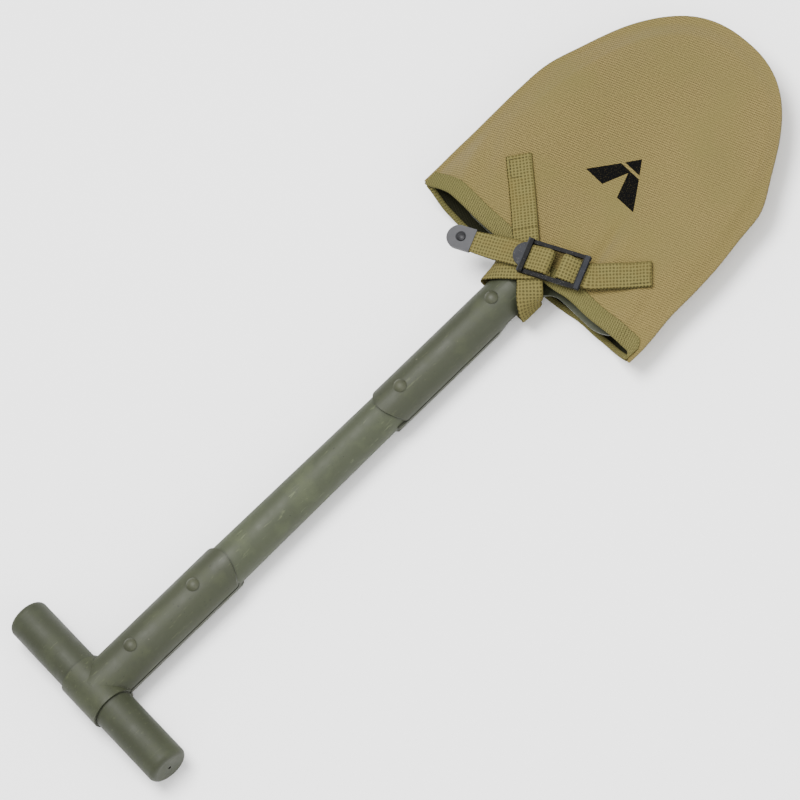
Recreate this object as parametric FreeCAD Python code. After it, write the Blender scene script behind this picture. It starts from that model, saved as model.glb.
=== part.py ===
import FreeCAD, Part
import os
from math import cos, sin, pi, radians, hypot

V = FreeCAD.Vector
os.makedirs("parts", exist_ok=True)

# ---------------------------------------------------------------- sizes, mm
overall_length = 560.0        # outside of the grip strap to the tip of the cover
fit = 0.1                     # gap between pieces fastened to each other
run = 0.4                     # gap between pieces that move past each other

# handle
grip_radius = 13.0
grip_length = 136.0
grip_edge_round = 3.5
grip_centre_hole = 1.0        # radius of the turning-centre hole in each end
grip_hole_depth = 4.0
strap_sheet = 1.5             # steel of the grip strap and of the blade socket
shaft_grip_radius = 13.3
shaft_blade_radius = 12.2
shaft_taper_start = 248.0     # distances before the shoulder line
shaft_taper_end = 122.0
seam_gap = 1.2                # slot between front and back legs of each socket

# grip strap
grip_band_width = 31.0
grip_leg_reach = 110.0        # from the grip axis to the end of the tongue
tongue_round = 12.0
rivet_head_radius = 4.15
rivet_head_height = 1.9
rivet_shank = 2.4
grip_rivet_spots = (33.0, 84.0)       # from the grip axis

# blade
blade_sheet = 1.5
blade_half_width = 76.0
blade_length = 175.0
blade_corner = 24.0           # rounding of the shoulders
rim_height = 3.8              # rim above the shaft axis at the shoulders
blade_lift = 8.0              # further rise of the rim at the tip
shoulder_dish = 3.0
middle_dish = 8.0
neck_reach = 14.0             # flare begins this far before the shoulder line
flare_radius = 13.5
front_socket_reach = 122.0
back_socket_reach = 124.5
frog_length = 70.0
frog_tip_radius = 2.0
back_taper_start = 40.0       # lower socket half narrows from here
back_taper_end = 20.0
back_tip_radius = 4.0
tongue_half_width = 24.0
tongue_tip_half_width = 9.0
tongue_wide_end = 24.0
tongue_end = 88.0
socket_rivet_spots = (103.8, 28.5)    # before the shoulder line
frog_rivet_spots = ((16.0, 18.0), (16.0, -18.0), (79.0, 0.0))

# cover
cover_tip_ease = 13.0         # room past the tip of the blade
cover_side_ease = 14.0        # room beside the blade
cover_cloth = 1.3
cover_straight = 40.0         # sides are parallel this far past the shoulders
outline_power_x = 2.2
outline_power_y = 2.4
mouth_reach = 2.0             # mouth edge before the shoulder line
front_height = 12.7           # inside of the front panel above the shaft axis
front_power = 5.0
back_power = 6.0
back_press = 0.5              # thickness lost where the cloth lies on the ground
seam_flange = 4.0
side_seam_gap = 0.8           # room for the thread between the two panels
edge_ease = 1.5               # rounds the cloth into the flat side seam
seam_start = 4.6              # side seam above the shaft axis at the mouth
seam_rise = 3.4
seam_tip_rise = 3.0
hem_width = 9.0
hem_cloth = 0.9
front_hem_inset = 1.0         # the hems stop short of the side seam
back_hem_inset = 12.0

# webbing and buckle
web_width = 16.0
web = 1.3
anchor_start = (44.0, 53.9)   # on the front panel, from the shoulder line
anchor_end = (15.0, 16.2)
buckle_centre = (10.7, -16.2)
buckle_turn = 24.8            # long axis of the buckle from the cross direction
buckle_half_length = 20.0
buckle_rail = 2.4
buckle_bar = 1.2
buckle_frame_height = 19.1    # underside of the frame above the shaft axis
locking_bar_at = -5.0
chape_bar_at = 6.0
thumb_rise = 2.7
thumb_sheet = 1.6
thumb_bar = 3.4
thumb_radius = 7.6
end_bar = 3.6                 # width of the flat far bar
end_bar_rise = 0.7
flex_at = 23.0                # fold line of the buckle chape
strap_flex_at = 27.2          # fold line of the free end, clear of the thumb plate
strap_end_length = 31.0
strap_end_drop = 3.6
strap_end_lift = 0.2          # its start above the middle of the frame
strap_narrow_half = 6.6       # half width of the free end where the tip holds it
strap_full_share = 0.35       # part of the free end left at full width
strap_tip_length = 13.0
strap_tip_sheet = 0.6
chape_end = (46.9, -61.5)

# belt hook on the back of the cover
hook_wire = 1.3
hook_bar_at = 156.0
hook_half_span = 22.0
hook_arm = 20.0
hook_bend = 3.0
hook_return = 8.0
hook_slope = 20.0
tab_half_width = 15.0
tab_start = 132.0
tab_return = 140.0
tab_ease = 0.2

# ---------------------------------------------------------------- positions
leg_outer = shaft_grip_radius + fit + strap_sheet
axis_z = leg_outer + rivet_head_height      # the rivet heads touch the ground
cover_length = blade_length + cover_tip_ease              # shoulder line to tip
cover_half_width = blade_half_width + cover_side_ease
tip_x = overall_length / 2.0
shoulder_x = tip_x - cover_length
grip_outer = grip_radius + fit + strap_sheet
grip_x = -overall_length / 2.0 + grip_outer
socket_inner = shaft_blade_radius + fit
socket_outer = socket_inner + strap_sheet
far = 400.0                   # longer than anything that is cut
ground_side = -5.0            # a level below everything
sky = 80.0                    # a level above everything
embed = 1.2                   # how far a rivet head is drawn into its sheet before trimming
half_frog_head = 0.7          # the blade rivets have lower heads


# ---------------------------------------------------------------- helpers
def save(name, shape):
    shape.exportStep("parts/" + name + ".step")


def box(x0, x1, y0, y1, z0, z1):
    return Part.makeBox(x1 - x0, y1 - y0, z1 - z0, V(x0, y0, z0))


def rod_x(radius, x0, x1):
    return Part.makeCylinder(radius, x1 - x0, V(x0, 0, axis_z), V(1, 0, 0))


def prism(wire, z0, z1):
    face = Part.Face(wire)
    return face.translated(V(0, 0, z0)).extrude(V(0, 0, z1 - z0))


def smooth_face(grid):
    surface = Part.BSplineSurface()
    surface.interpolate(grid)
    return surface


def solid_between(low, high):
    """Closed solid between two grids of points of the same size."""
    bottom = smooth_face(low)
    top = smooth_face(high)
    faces = [bottom.toShape(), top.toShape()]
    u0, u1, v0, v1 = bottom.bounds()
    p0, p1, q0, q1 = top.bounds()
    pairs = [
        (bottom.uIso(u0), top.uIso(p0)),
        (bottom.uIso(u1), top.uIso(p1)),
        (bottom.vIso(v0), top.vIso(q0)),
        (bottom.vIso(v1), top.vIso(q1)),
    ]
    for first, second in pairs:
        faces.append(Part.makeRuledSurface(first.toShape(), second.toShape()))
    shell = Part.Shell(faces)
    shell.sewShape()
    solid = Part.Solid(shell)
    if solid.Volume < 0:
        solid.reverse()
    return solid


def sheet(height_low, height_high, x0, x1, half, across=25, along=33):
    """Solid between two height functions over a rectangle."""
    low = []
    high = []
    for i in range(along):
        x = x0 + (x1 - x0) * i / (along - 1)
        low_row = []
        high_row = []
        for j in range(across):
            y = -half + 2.0 * half * j / (across - 1)
            low_row.append(V(x, y, height_low(x, y)))
            high_row.append(V(x, y, height_high(x, y)))
        low.append(low_row)
        high.append(high_row)
    return solid_between(low, high)


def ribbon(stations, thick, half):
    """Flat strap through stations of (centre, direction across)."""
    low = []
    high = []
    count = len(stations)
    for i in range(count):
        centre, across = stations[i]
        before = stations[max(i - 1, 0)][0]
        after = stations[min(i + 1, count - 1)][0]
        along = after.sub(before)
        side = V(across.x, across.y, across.z).normalize()
        normal = along.cross(side).normalize()
        low_row = []
        high_row = []
        for step in (-1.0, 0.0, 1.0):
            point = centre.add(side * (step * half))
            low_row.append(point.sub(normal * (thick / 2.0)))
            high_row.append(point.add(normal * (thick / 2.0)))
        low.append(low_row)
        high.append(high_row)
    return solid_between(low, high)


def smooth_stations(keys, count):
    """Evenly spaced stations on a smooth curve through the key stations."""
    marks = [0.0]
    for first, second in zip(keys, keys[1:]):
        marks.append(marks[-1] + first[0].distanceToPoint(second[0]))
    path = Part.BSplineCurve()
    path.interpolate(Points=[key[0] for key in keys], Parameters=marks)
    stations = []
    for i in range(count):
        mark = marks[-1] * i / (count - 1)
        place = 0
        while place < len(marks) - 2 and mark > marks[place + 1]:
            place = place + 1
        k = (mark - marks[place]) / (marks[place + 1] - marks[place])
        side = keys[place][1] * (1.0 - k) + keys[place + 1][1] * k
        stations.append((path.value(mark), side))
    return stations


def circle_wire(x, z, radius):
    return Part.Wire(Part.makeCircle(radius, V(x, 0, z), V(1, 0, 0)))


def cone_between(x0, z0, r0, x1, z1, r1):
    return Part.makeLoft([circle_wire(x0, z0, r0), circle_wire(x1, z1, r1)], True, True)


def one_solid(shape):
    """Drop slivers and seams left by a chain of cuts."""
    shape = shape.removeSplitter()
    solids = sorted(shape.Solids, key=lambda s: s.Volume)
    return solids[-1]


# ---------------------------------------------------------------- blade form
def blade_top(x, y):
    s = (x - shoulder_x) / cover_length
    rim = axis_z + rim_height + blade_lift * s
    t = max(s, 0.0)
    dish = shoulder_dish * (1.0 - t) + 4.0 * middle_dish * t * (1.0 - t)
    return rim - dish * (1.0 - (y / blade_half_width) ** 2)


def blade_bottom(x, y):
    return blade_top(x, y) - blade_sheet


def blade_outline():
    """Shoulders, sides and rounded point, with the flare into the neck."""
    half = blade_half_width
    root = socket_outer
    x_neck = shoulder_x - neck_reach
    bend = flare_radius * (1.0 - cos(pi / 4.0))
    flare_mid_x = shoulder_x - bend
    flare_mid_y = root + bend
    side_end = shoulder_x + cover_straight
    reach = blade_length - cover_straight
    edges = []
    right = []
    count = 13
    for i in range(count):
        a = (pi / 2.0) * i / (count - 1)
        x = side_end + reach * sin(a) ** (2.0 / outline_power_x)
        y = half * cos(a) ** (2.0 / outline_power_y)
        right.append(V(x, y, 0))
    right[-1] = V(shoulder_x + blade_length, 0, 0)
    points = right + [V(p.x, -p.y, 0) for p in reversed(right[:-1])]
    tip = Part.BSplineCurve()
    tip.interpolate(points)
    edges.append(tip.toShape())
    for sign in (1.0, -1.0):
        corner_side = V(shoulder_x + blade_corner, sign * half, 0)
        corner_top = V(shoulder_x, sign * (half - blade_corner), 0)
        pull = blade_corner * (1.0 - cos(pi / 4.0))
        corner_mid = V(shoulder_x + pull, sign * (half - pull), 0)
        flare_out = V(shoulder_x, sign * (root + flare_radius), 0)
        flare_in = V(shoulder_x - flare_radius, sign * root, 0)
        flare_mid = V(flare_mid_x, sign * flare_mid_y, 0)
        neck = V(x_neck - 1.0, sign * root, 0)
        edges.append(Part.makeLine(V(side_end, sign * half, 0), corner_side))
        edges.append(Part.Arc(corner_side, corner_mid, corner_top).toShape())
        edges.append(Part.makeLine(corner_top, flare_out))
        edges.append(Part.Arc(flare_out, flare_mid, flare_in).toShape())
        edges.append(Part.makeLine(flare_in, neck))
    edges.append(Part.makeLine(V(x_neck - 1.0, root, 0), V(x_neck - 1.0, -root, 0)))
    return Part.Wire(Part.__sortEdges__(edges))


def blade_slab(height_low, height_high):
    return sheet(height_low, height_high, shoulder_x - 22.0, shoulder_x + blade_length + 6.0,
                 blade_half_width + 6.0)


def above_blade_back(drop):
    """Everything higher than the back of the blade sheet, lowered by drop."""
    return blade_slab(lambda x, y: blade_bottom(x, y) - drop, lambda x, y: sky)


def frog(radius, tip_radius, start, end):
    """Raised cone that carries the socket into the dish of the blade."""
    end_top = blade_top(end, 0.0)
    return cone_between(start, axis_z, radius, end, end_top - frog_tip_radius, tip_radius)


def tongue_prism(end_x, round_x, half, toward):
    """Plan outline of a rounded sheet end; toward is the way it points."""
    start = end_x - toward * round_x
    back = end_x - toward * far
    y = half + 1.0
    arc = Part.BSplineCurve()
    points = []
    for i in range(9):
        a = -pi / 2.0 + pi * i / 8.0
        points.append(V(start + toward * round_x * cos(a), y * sin(a), 0))
    arc.interpolate(points)
    edges = [
        arc.toShape(),
        Part.makeLine(V(start, y, 0), V(back, y, 0)),
        Part.makeLine(V(back, y, 0), V(back, -y, 0)),
        Part.makeLine(V(back, -y, 0), V(start, -y, 0)),
    ]
    return prism(Part.Wire(Part.__sortEdges__(edges)), ground_side, sky)


# ---------------------------------------------------------------- rivets
def dome(x, y, z, up, radius, height):
    """Peened rivet head standing on the level z, sunk a little into it."""
    ball = (radius * radius + height * height) / (2.0 * height)
    centre = V(x, y, z + up * (height - ball))
    sphere = Part.makeSphere(ball, centre)
    if up > 0:
        keep = box(x - ball, x + ball, y - ball, y + ball, z - embed, z + height + 1.0)
    else:
        keep = box(x - ball, x + ball, y - ball, y + ball, z - height - 1.0, z + embed)
    disc = Part.makeCylinder(radius, 2.0 * (height + embed), V(x, y, z - height - embed))
    return sphere.common(keep).common(disc)


def through_rivet(x, body_outer, body_hole):
    """Rivet across the handle with a head seated on each sheet."""
    top = axis_z + body_outer
    bottom = axis_z - body_outer
    shank = Part.makeCylinder(rivet_shank, top - bottom, V(x, 0, bottom))
    heads = dome(x, 0, top, 1.0, rivet_head_radius, rivet_head_height)
    heads = heads.fuse(dome(x, 0, bottom, -1.0, rivet_head_radius, rivet_head_height))
    heads = heads.cut(body_hole)
    return one_solid(shank.fuse(heads))


def hole(x, y, z0, z1):
    return Part.makeCylinder(rivet_shank + fit / 2.0, z1 - z0, V(x, y, z0))


# ---------------------------------------------------------------- handle
def socket_core(grow):
    """Space filled by the wood inside the blade socket."""
    radius = shaft_blade_radius + grow
    x_front = shoulder_x - neck_reach
    x_back = shoulder_x - back_taper_start
    upper = rod_x(radius, x_back - 90.0, x_front)
    upper = upper.fuse(frog(radius, 0.4 + grow, x_front, shoulder_x + frog_length - 10.0))
    upper = upper.common(box(-far, far, -far, far, axis_z, axis_z + far))
    lower = rod_x(radius, x_back - 90.0, x_back)
    lower = lower.fuse(cone_between(x_back, axis_z, radius, shoulder_x + back_taper_end,
                                    axis_z, back_tip_radius - strap_sheet + grow))
    lower = lower.common(box(-far, far, -far, far, axis_z - far, axis_z))
    return upper.fuse(lower)


def lower_socket():
    """Outside of the back half of the socket."""
    x_back = shoulder_x - back_taper_start
    shape = rod_x(socket_outer, shoulder_x - back_socket_reach, x_back)
    return shape.fuse(cone_between(x_back, axis_z, socket_outer, shoulder_x + back_taper_end,
                                   axis_z, back_tip_radius + fit))


def make_shaft():
    x_a = grip_x
    x_b = shoulder_x - shaft_taper_start
    x_c = shoulder_x - shaft_taper_end
    x_d = shoulder_x - back_taper_start - 10.0
    shape = rod_x(shaft_grip_radius, x_a, x_b)
    shape = shape.fuse(cone_between(x_b, axis_z, shaft_grip_radius, x_c, axis_z, shaft_blade_radius))
    shape = shape.fuse(rod_x(shaft_blade_radius, x_c, x_d))
    end = socket_core(0.0).common(box(x_d, shoulder_x - 6.0, -far, far, -far, far))
    shape = shape.fuse(end)
    saddle = Part.makeCylinder(grip_radius + fit, sky, V(grip_x, -sky / 2.0, axis_z), V(0, 1, 0))
    shape = shape.cut(saddle)
    keep = box(grip_x, far, -far, far, -far, far)
    shape = shape.common(keep)
    for spot in grip_rivet_spots:
        shape = shape.cut(hole(grip_x + spot, 0, ground_side, sky))
    for spot in socket_rivet_spots:
        shape = shape.cut(hole(shoulder_x - spot, 0, ground_side, sky))
    return one_solid(shape)


def make_grip():
    shape = Part.makeCylinder(grip_radius, grip_length, V(grip_x, -grip_length / 2.0, axis_z),
                              V(0, 1, 0))
    rims = [e for e in shape.Edges if e.Curve.TypeId == "Part::GeomCircle"]
    shape = shape.makeFillet(grip_edge_round, rims)
    for sign in (1.0, -1.0):
        start = V(grip_x, sign * grip_length / 2.0, axis_z)
        shape = shape.cut(Part.makeCylinder(grip_centre_hole, 2.0 * grip_hole_depth,
                                            start - V(0, sign * grip_hole_depth, 0), V(0, sign, 0)))
    return shape


def grip_strap_outer():
    legs = rod_x(leg_outer, grip_x, grip_x + grip_leg_reach)
    band = Part.makeCylinder(grip_outer, grip_band_width, V(grip_x, -grip_band_width / 2.0, axis_z),
                             V(0, 1, 0))
    return legs, band


def make_grip_strap():
    legs, band = grip_strap_outer()
    legs = legs.common(tongue_prism(grip_x + grip_leg_reach, tongue_round, leg_outer, 1.0))
    shape = legs.fuse(band)
    core = rod_x(shaft_grip_radius + fit, grip_x, grip_x + far)
    grip = Part.makeCylinder(grip_radius + fit, sky, V(grip_x, -sky / 2.0, axis_z), V(0, 1, 0))
    shape = shape.cut(core).cut(grip)
    slot = box(grip_x + grip_radius * 0.5, grip_x + far, -far, far, axis_z - seam_gap / 2.0,
               axis_z + seam_gap / 2.0)
    shape = shape.cut(slot)
    for spot in grip_rivet_spots:
        shape = shape.cut(hole(grip_x + spot, 0, ground_side, sky))
    return one_solid(shape)


def make_grip_rivets():
    solid_legs = rod_x(leg_outer + fit / 4.0, grip_x, grip_x + grip_leg_reach)
    rivets = [through_rivet(grip_x + spot, leg_outer, solid_legs) for spot in grip_rivet_spots]
    return Part.makeCompound(rivets)


# ---------------------------------------------------------------- blade and back strap
def upper_outer():
    x_front = shoulder_x - neck_reach
    tube = rod_x(socket_outer, shoulder_x - front_socket_reach, x_front)
    return tube, frog(socket_outer, frog_tip_radius, x_front, shoulder_x + frog_length)


def make_blade():
    tube, cone = upper_outer()
    tongue = tongue_prism(shoulder_x - front_socket_reach, tongue_round, socket_outer, -1.0)
    tube = tube.common(tongue)
    tube = tube.common(box(-far, far, -far, far, axis_z + seam_gap / 2.0, axis_z + far))
    hump = cone.common(above_blade_back(-blade_sheet / 3.0))
    slab = blade_slab(blade_bottom, blade_top).common(prism(blade_outline(), 4.0 * ground_side, sky))
    shape = slab.fuse(hump).fuse(tube)
    shape = shape.cut(socket_core(fit))
    for spot in socket_rivet_spots:
        shape = shape.cut(hole(shoulder_x - spot, 0, axis_z, sky))
    for spot in frog_rivet_spots:
        shape = shape.cut(hole(shoulder_x + spot[0], spot[1], ground_side, sky))
    return one_solid(shape)


def tongue_outline():
    x0 = shoulder_x - neck_reach + 3.0
    x1 = shoulder_x + tongue_wide_end
    x2 = shoulder_x + tongue_end - tongue_tip_half_width
    edges = []
    end = []
    for sign in (1.0, -1.0):
        root = V(x0, sign * (socket_outer - 1.0), 0)
        wide_a = V(shoulder_x + 6.0, sign * tongue_half_width, 0)
        wide_b = V(x1, sign * tongue_half_width, 0)
        tip = V(x2, sign * tongue_tip_half_width, 0)
        end.append(tip)
        edges.append(Part.makeLine(root, wide_a))
        edges.append(Part.makeLine(wide_a, wide_b))
        edges.append(Part.makeLine(wide_b, tip))
    edges.append(Part.Arc(end[0], V(shoulder_x + tongue_end, 0, 0), end[1]).toShape())
    edges.append(Part.makeLine(V(x0, socket_outer - 1.0, 0), V(x0, 1.0 - socket_outer, 0)))
    return Part.Wire(Part.__sortEdges__(edges))


def make_back_strap():
    slab = blade_slab(lambda x, y: blade_bottom(x, y) - fit - strap_sheet,
                      lambda x, y: blade_bottom(x, y) - fit)
    slab = slab.common(prism(tongue_outline(), 4.0 * ground_side, sky))
    tube = lower_socket().common(tongue_prism(shoulder_x - back_socket_reach, tongue_round / 2.0,
                                              socket_outer, -1.0))
    tube = tube.common(box(-far, far, -far, far, -far, axis_z - seam_gap / 2.0))
    shape = tube.cut(above_blade_back(fit + strap_sheet / 3.0)).fuse(slab)
    shape = shape.cut(socket_core(fit))
    for spot in socket_rivet_spots:
        shape = shape.cut(hole(shoulder_x - spot, 0, ground_side, axis_z))
    for spot in frog_rivet_spots:
        shape = shape.cut(hole(shoulder_x + spot[0], spot[1], ground_side, sky))
    return one_solid(shape)


def make_socket_rivets():
    rivets = []
    grown_top = rod_x(socket_outer + fit / 4.0, shoulder_x - front_socket_reach,
                      shoulder_x - neck_reach)
    lower = lower_socket()
    for spot in socket_rivet_spots:
        x = shoulder_x - spot
        narrow = max(0.0, back_taper_start - spot) / (back_taper_start + back_taper_end)
        depth = socket_outer - narrow * (socket_outer - back_tip_radius)
        top = axis_z + socket_outer
        bottom = axis_z - depth
        shank = Part.makeCylinder(rivet_shank, top - bottom, V(x, 0, bottom))
        head_a = dome(x, 0, top, 1.0, rivet_head_radius, rivet_head_height).cut(grown_top)
        head_b = dome(x, 0, bottom, -1.0, rivet_head_radius, rivet_head_height).cut(lower)
        rivets.append(one_solid(shank.fuse(head_a).fuse(head_b)))
    return Part.makeCompound(rivets)


def make_frog_rivets():
    rivets = []
    above = blade_slab(lambda x, y: blade_bottom(x, y) - fit - strap_sheet - fit / 4.0,
                       lambda x, y: blade_top(x, y) + fit / 4.0)
    for spot in frog_rivet_spots:
        x = shoulder_x + spot[0]
        y = spot[1]
        top = blade_top(x, y)
        bottom = blade_bottom(x, y) - fit - strap_sheet
        shank = Part.makeCylinder(rivet_shank, top - bottom, V(x, y, bottom))
        heads = dome(x, y, top, 1.0, rivet_head_radius, rivet_head_height * half_frog_head)
        heads = heads.fuse(dome(x, y, bottom, -1.0, rivet_head_radius, rivet_head_height * half_frog_head))
        rivets.append(one_solid(shank.fuse(heads.cut(above))))
    return Part.makeCompound(rivets)


# ---------------------------------------------------------------- cover
def cover_level(x, y):
    """Zero at the mouth centre and one on the outline of the cover."""
    t = max(x - shoulder_x - cover_straight, 0.0) / (cover_length - cover_straight)
    return t ** outline_power_x + (abs(y) / cover_half_width) ** outline_power_y


def seam_height(x):
    s = max(x - shoulder_x, 0.0) / cover_length
    return axis_z + seam_start + seam_rise * s + seam_tip_rise * s ** 8


def flattened(x, y, power):
    inner = 1.0 - seam_flange / cover_half_width
    mean = (outline_power_x + outline_power_y) / 2.0
    q = cover_level(x, y) ** (1.0 / mean) / inner
    return 1.0 - (1.0 - min(q, 1.0) ** power) ** edge_ease


def front_inside(x, y):
    high = axis_z + front_height
    low = seam_height(x) + side_seam_gap / 2.0
    return high - (high - low) * flattened(x, y, front_power)


def front_outside(x, y):
    return front_inside(x, y) + cover_cloth


def back_outside(x, y):
    low = -back_press
    high = seam_height(x) - cover_cloth - side_seam_gap / 2.0
    return low + (high - low) * flattened(x, y, back_power)


def back_inside(x, y):
    return back_outside(x, y) + cover_cloth


def cover_outline(shrink, x_mouth):
    side = shoulder_x + cover_straight
    half = cover_half_width - shrink
    reach = cover_length - cover_straight - shrink
    right = []
    count = 15
    for i in range(count):
        a = (pi / 2.0) * i / (count - 1)
        x = side + reach * sin(a) ** (2.0 / outline_power_x)
        y = half * cos(a) ** (2.0 / outline_power_y)
        right.append(V(x, y, 0))
    right[-1] = V(side + reach, 0, 0)
    points = right + [V(p.x, -p.y, 0) for p in reversed(right[:-1])]
    tip = Part.BSplineCurve()
    tip.interpolate(points)
    edges = [
        tip.toShape(),
        Part.makeLine(V(side, half, 0), V(x_mouth, half, 0)),
        Part.makeLine(V(x_mouth, half, 0), V(x_mouth, -half, 0)),
        Part.makeLine(V(x_mouth, -half, 0), V(side, -half, 0)),
    ]
    return Part.Wire(Part.__sortEdges__(edges))


def cover_sheet(low, high, shrink, x_mouth):
    slab = sheet(low, high, shoulder_x - mouth_reach - 8.0, shoulder_x + cover_length + 4.0,
                 cover_half_width + 4.0, 45, 61)
    return slab.common(prism(cover_outline(shrink, x_mouth), 6.0 * ground_side, sky))


def mouth_x():
    return shoulder_x - mouth_reach


def make_cover_front():
    return one_solid(cover_sheet(front_inside, front_outside, 0.0, mouth_x()))


def make_cover_back():
    shape = cover_sheet(back_outside, back_inside, 0.0, mouth_x())
    return one_solid(shape.cut(box(-far, far, -far, far, -far, 0.0)))


def make_front_hem():
    shape = cover_sheet(lambda x, y: front_outside(x, y) + fit / 2.0,
                        lambda x, y: front_outside(x, y) + fit / 2.0 + hem_cloth,
                        front_hem_inset, mouth_x())
    return one_solid(shape.common(box(-far, mouth_x() + hem_width, -far, far, -far, far)))


def make_back_hem():
    shape = cover_sheet(lambda x, y: back_inside(x, y) + fit / 2.0,
                        lambda x, y: back_inside(x, y) + fit / 2.0 + hem_cloth,
                        back_hem_inset, mouth_x())
    return one_solid(shape.common(box(-far, mouth_x() + hem_width, -far, far, -far, far)))


# ---------------------------------------------------------------- straps on the cover
def on_front(x, y, lift):
    return V(shoulder_x + x, y, front_outside(shoulder_x + x, y) + lift)


def make_strap_anchor():
    dx = anchor_end[0] - anchor_start[0]
    dy = anchor_end[1] - anchor_start[1]
    across = V(-dy, dx, 0)
    stations = []
    for i in range(7):
        k = i / 6.0
        stations.append((on_front(anchor_start[0] + dx * k, anchor_start[1] + dy * k,
                                  fit + web / 2.0 + 0.45), across))
    return ribbon(stations, web, web_width / 2.0)


buckle_along = V(sin(radians(buckle_turn)), -cos(radians(buckle_turn)), 0)
buckle_across = V(cos(radians(buckle_turn)), sin(radians(buckle_turn)), 0)


def at_buckle(along, across, up):
    """Point in the frame of the buckle; up is height above the shaft axis."""
    centre = V(shoulder_x + buckle_centre[0], buckle_centre[1], axis_z + up)
    return centre.add(buckle_along * along).add(buckle_across * across)


def make_neck_strap():
    length = hypot(anchor_start[0] - anchor_end[0], anchor_start[1] - anchor_end[1])
    run_x = (anchor_end[0] - anchor_start[0]) / length
    run_y = (anchor_end[1] - anchor_start[1]) / length
    lay = V(-run_y, run_x, 0)
    side = V(1, 0, 0)
    rise = V(0.69, 0.72, 0)
    top = front_height + cover_cloth + hem_cloth + fit + web / 2.0
    out = socket_outer + 5.5
    keys = [
        (anchor_end[0] - 0.6, anchor_end[1] - 0.8, top + 0.1, lay),
        (8.6, 7.9, top + 0.4, lay),
        (2.0, -0.6, top + 0.6, lay),
        (-4.5, -9.0, top + 0.5, lay),
        (-9.0, -14.0, top + 0.1, V(0.85, -0.5, 0)),
        (-13.6, -17.8, 12.0, V(0.95, -0.3, 0)),
        (-16.5, -out, 6.0, V(1, -0.1, 0)),
        (-17.0, -out, -1.0, side),
        (-15.8, -13.5, -9.8, side),
        (-15.5, 0.0, -12.7, side),
        (-15.8, 13.0, -9.8, side),
        (-17.0, out - 1.5, -1.0, side),
        (-16.5, out - 2.5, 6.5, V(1, 0.1, 0)),
        (-12.0, 10.5, 14.4, V(0.8, 0.5, 0)),
        (-5.5, 1.5, 17.4, rise),
        (1.0, -6.0, 17.9, rise),
        (6.0, -11.6, 17.9, V(0.82, 0.57, 0)),
    ]
    stations = []
    for x, y, up, across in keys:
        stations.append((V(shoulder_x + x, y, axis_z + up), across))
    stations.append((at_buckle(-3.0, 0, 17.9), buckle_across))
    return ribbon(smooth_stations(stations, 41), web, web_width / 2.0)


def bar_across(along, up, radius, half):
    return Part.makeCylinder(radius, 2.0 * half, at_buckle(along, -half, up), buckle_across)


def make_buckle():
    rail_at = web_width / 2.0 + run + buckle_rail / 2.0
    mid = buckle_frame_height + buckle_rail / 2.0
    shape = bar_across(chape_bar_at, mid, buckle_bar, rail_at)
    for sign in (1.0, -1.0):
        shape = shape.fuse(block(-buckle_half_length, buckle_half_length, sign * rail_at,
                                 buckle_rail, buckle_frame_height, buckle_frame_height + buckle_rail))
    right = buckle_half_length
    top = buckle_frame_height + buckle_rail
    shape = shape.fuse(block(right - end_bar, right, 0.0, 2.0 * rail_at + buckle_rail,
                             top - buckle_rail / 2.0, top + end_bar_rise))
    shape = shape.fuse(bar_across(locking_bar_at, mid, buckle_bar, rail_at))
    post_out = rail_at + buckle_rail / 2.0
    low = buckle_frame_height + buckle_rail - 0.2
    under = buckle_frame_height + thumb_rise
    left = -buckle_half_length
    for sign in (1.0, -1.0):
        shape = shape.fuse(block(left, left + thumb_bar, sign * rail_at, buckle_rail,
                                 low, under + thumb_sheet))
    shape = shape.fuse(block(left, left + thumb_bar, 0.0, 2.0 * post_out, under,
                             under + thumb_sheet))
    hinge = at_buckle(left + thumb_bar / 2.0, 0, under)
    moon = Part.makeCylinder(thumb_radius, thumb_sheet, hinge)
    trim = block(left - 2.0 * thumb_radius, left + thumb_bar / 2.0, 0.0, 4.0 * thumb_radius,
                 under - 1.0, under + 5.0)
    return one_solid(shape.fuse(moon.common(trim)))


def block(along_0, along_1, across, width, low, high):
    """Upright block in the frame of the buckle."""
    corners = [
        at_buckle(along_0, across - width / 2.0, low),
        at_buckle(along_1, across - width / 2.0, low),
        at_buckle(along_1, across + width / 2.0, low),
        at_buckle(along_0, across + width / 2.0, low),
    ]
    face = Part.Face(Part.makePolygon(corners + corners[:1]))
    return face.extrude(V(0, 0, high - low))


def band(points, across, thick, half, count):
    """Strap of one width whose centre line stays in one upright plane."""
    stations = smooth_stations([(point, across) for point in points], count)
    upper = []
    lower = []
    for i in range(count):
        centre = stations[i][0]
        before = stations[max(i - 1, 0)][0]
        after = stations[min(i + 1, count - 1)][0]
        normal = after.sub(before).cross(across).normalize()
        upper.append(centre.add(normal * (thick / 2.0)).sub(across * half))
        lower.append(centre.sub(normal * (thick / 2.0)).sub(across * half))
    over = Part.BSplineCurve()
    over.interpolate(upper)
    under = Part.BSplineCurve()
    under.interpolate(lower)
    edges = [
        over.toShape(),
        Part.makeLine(upper[-1], lower[-1]),
        under.toShape(),
        Part.makeLine(lower[0], upper[0]),
    ]
    face = Part.Face(Part.Wire(Part.__sortEdges__(edges)))
    return face.extrude(across * (2.0 * half))


def in_buckle_plane(points, half, thick, count):
    return band([at_buckle(a, 0, up) for a, up in points], buckle_across, thick, half, count)


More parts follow.
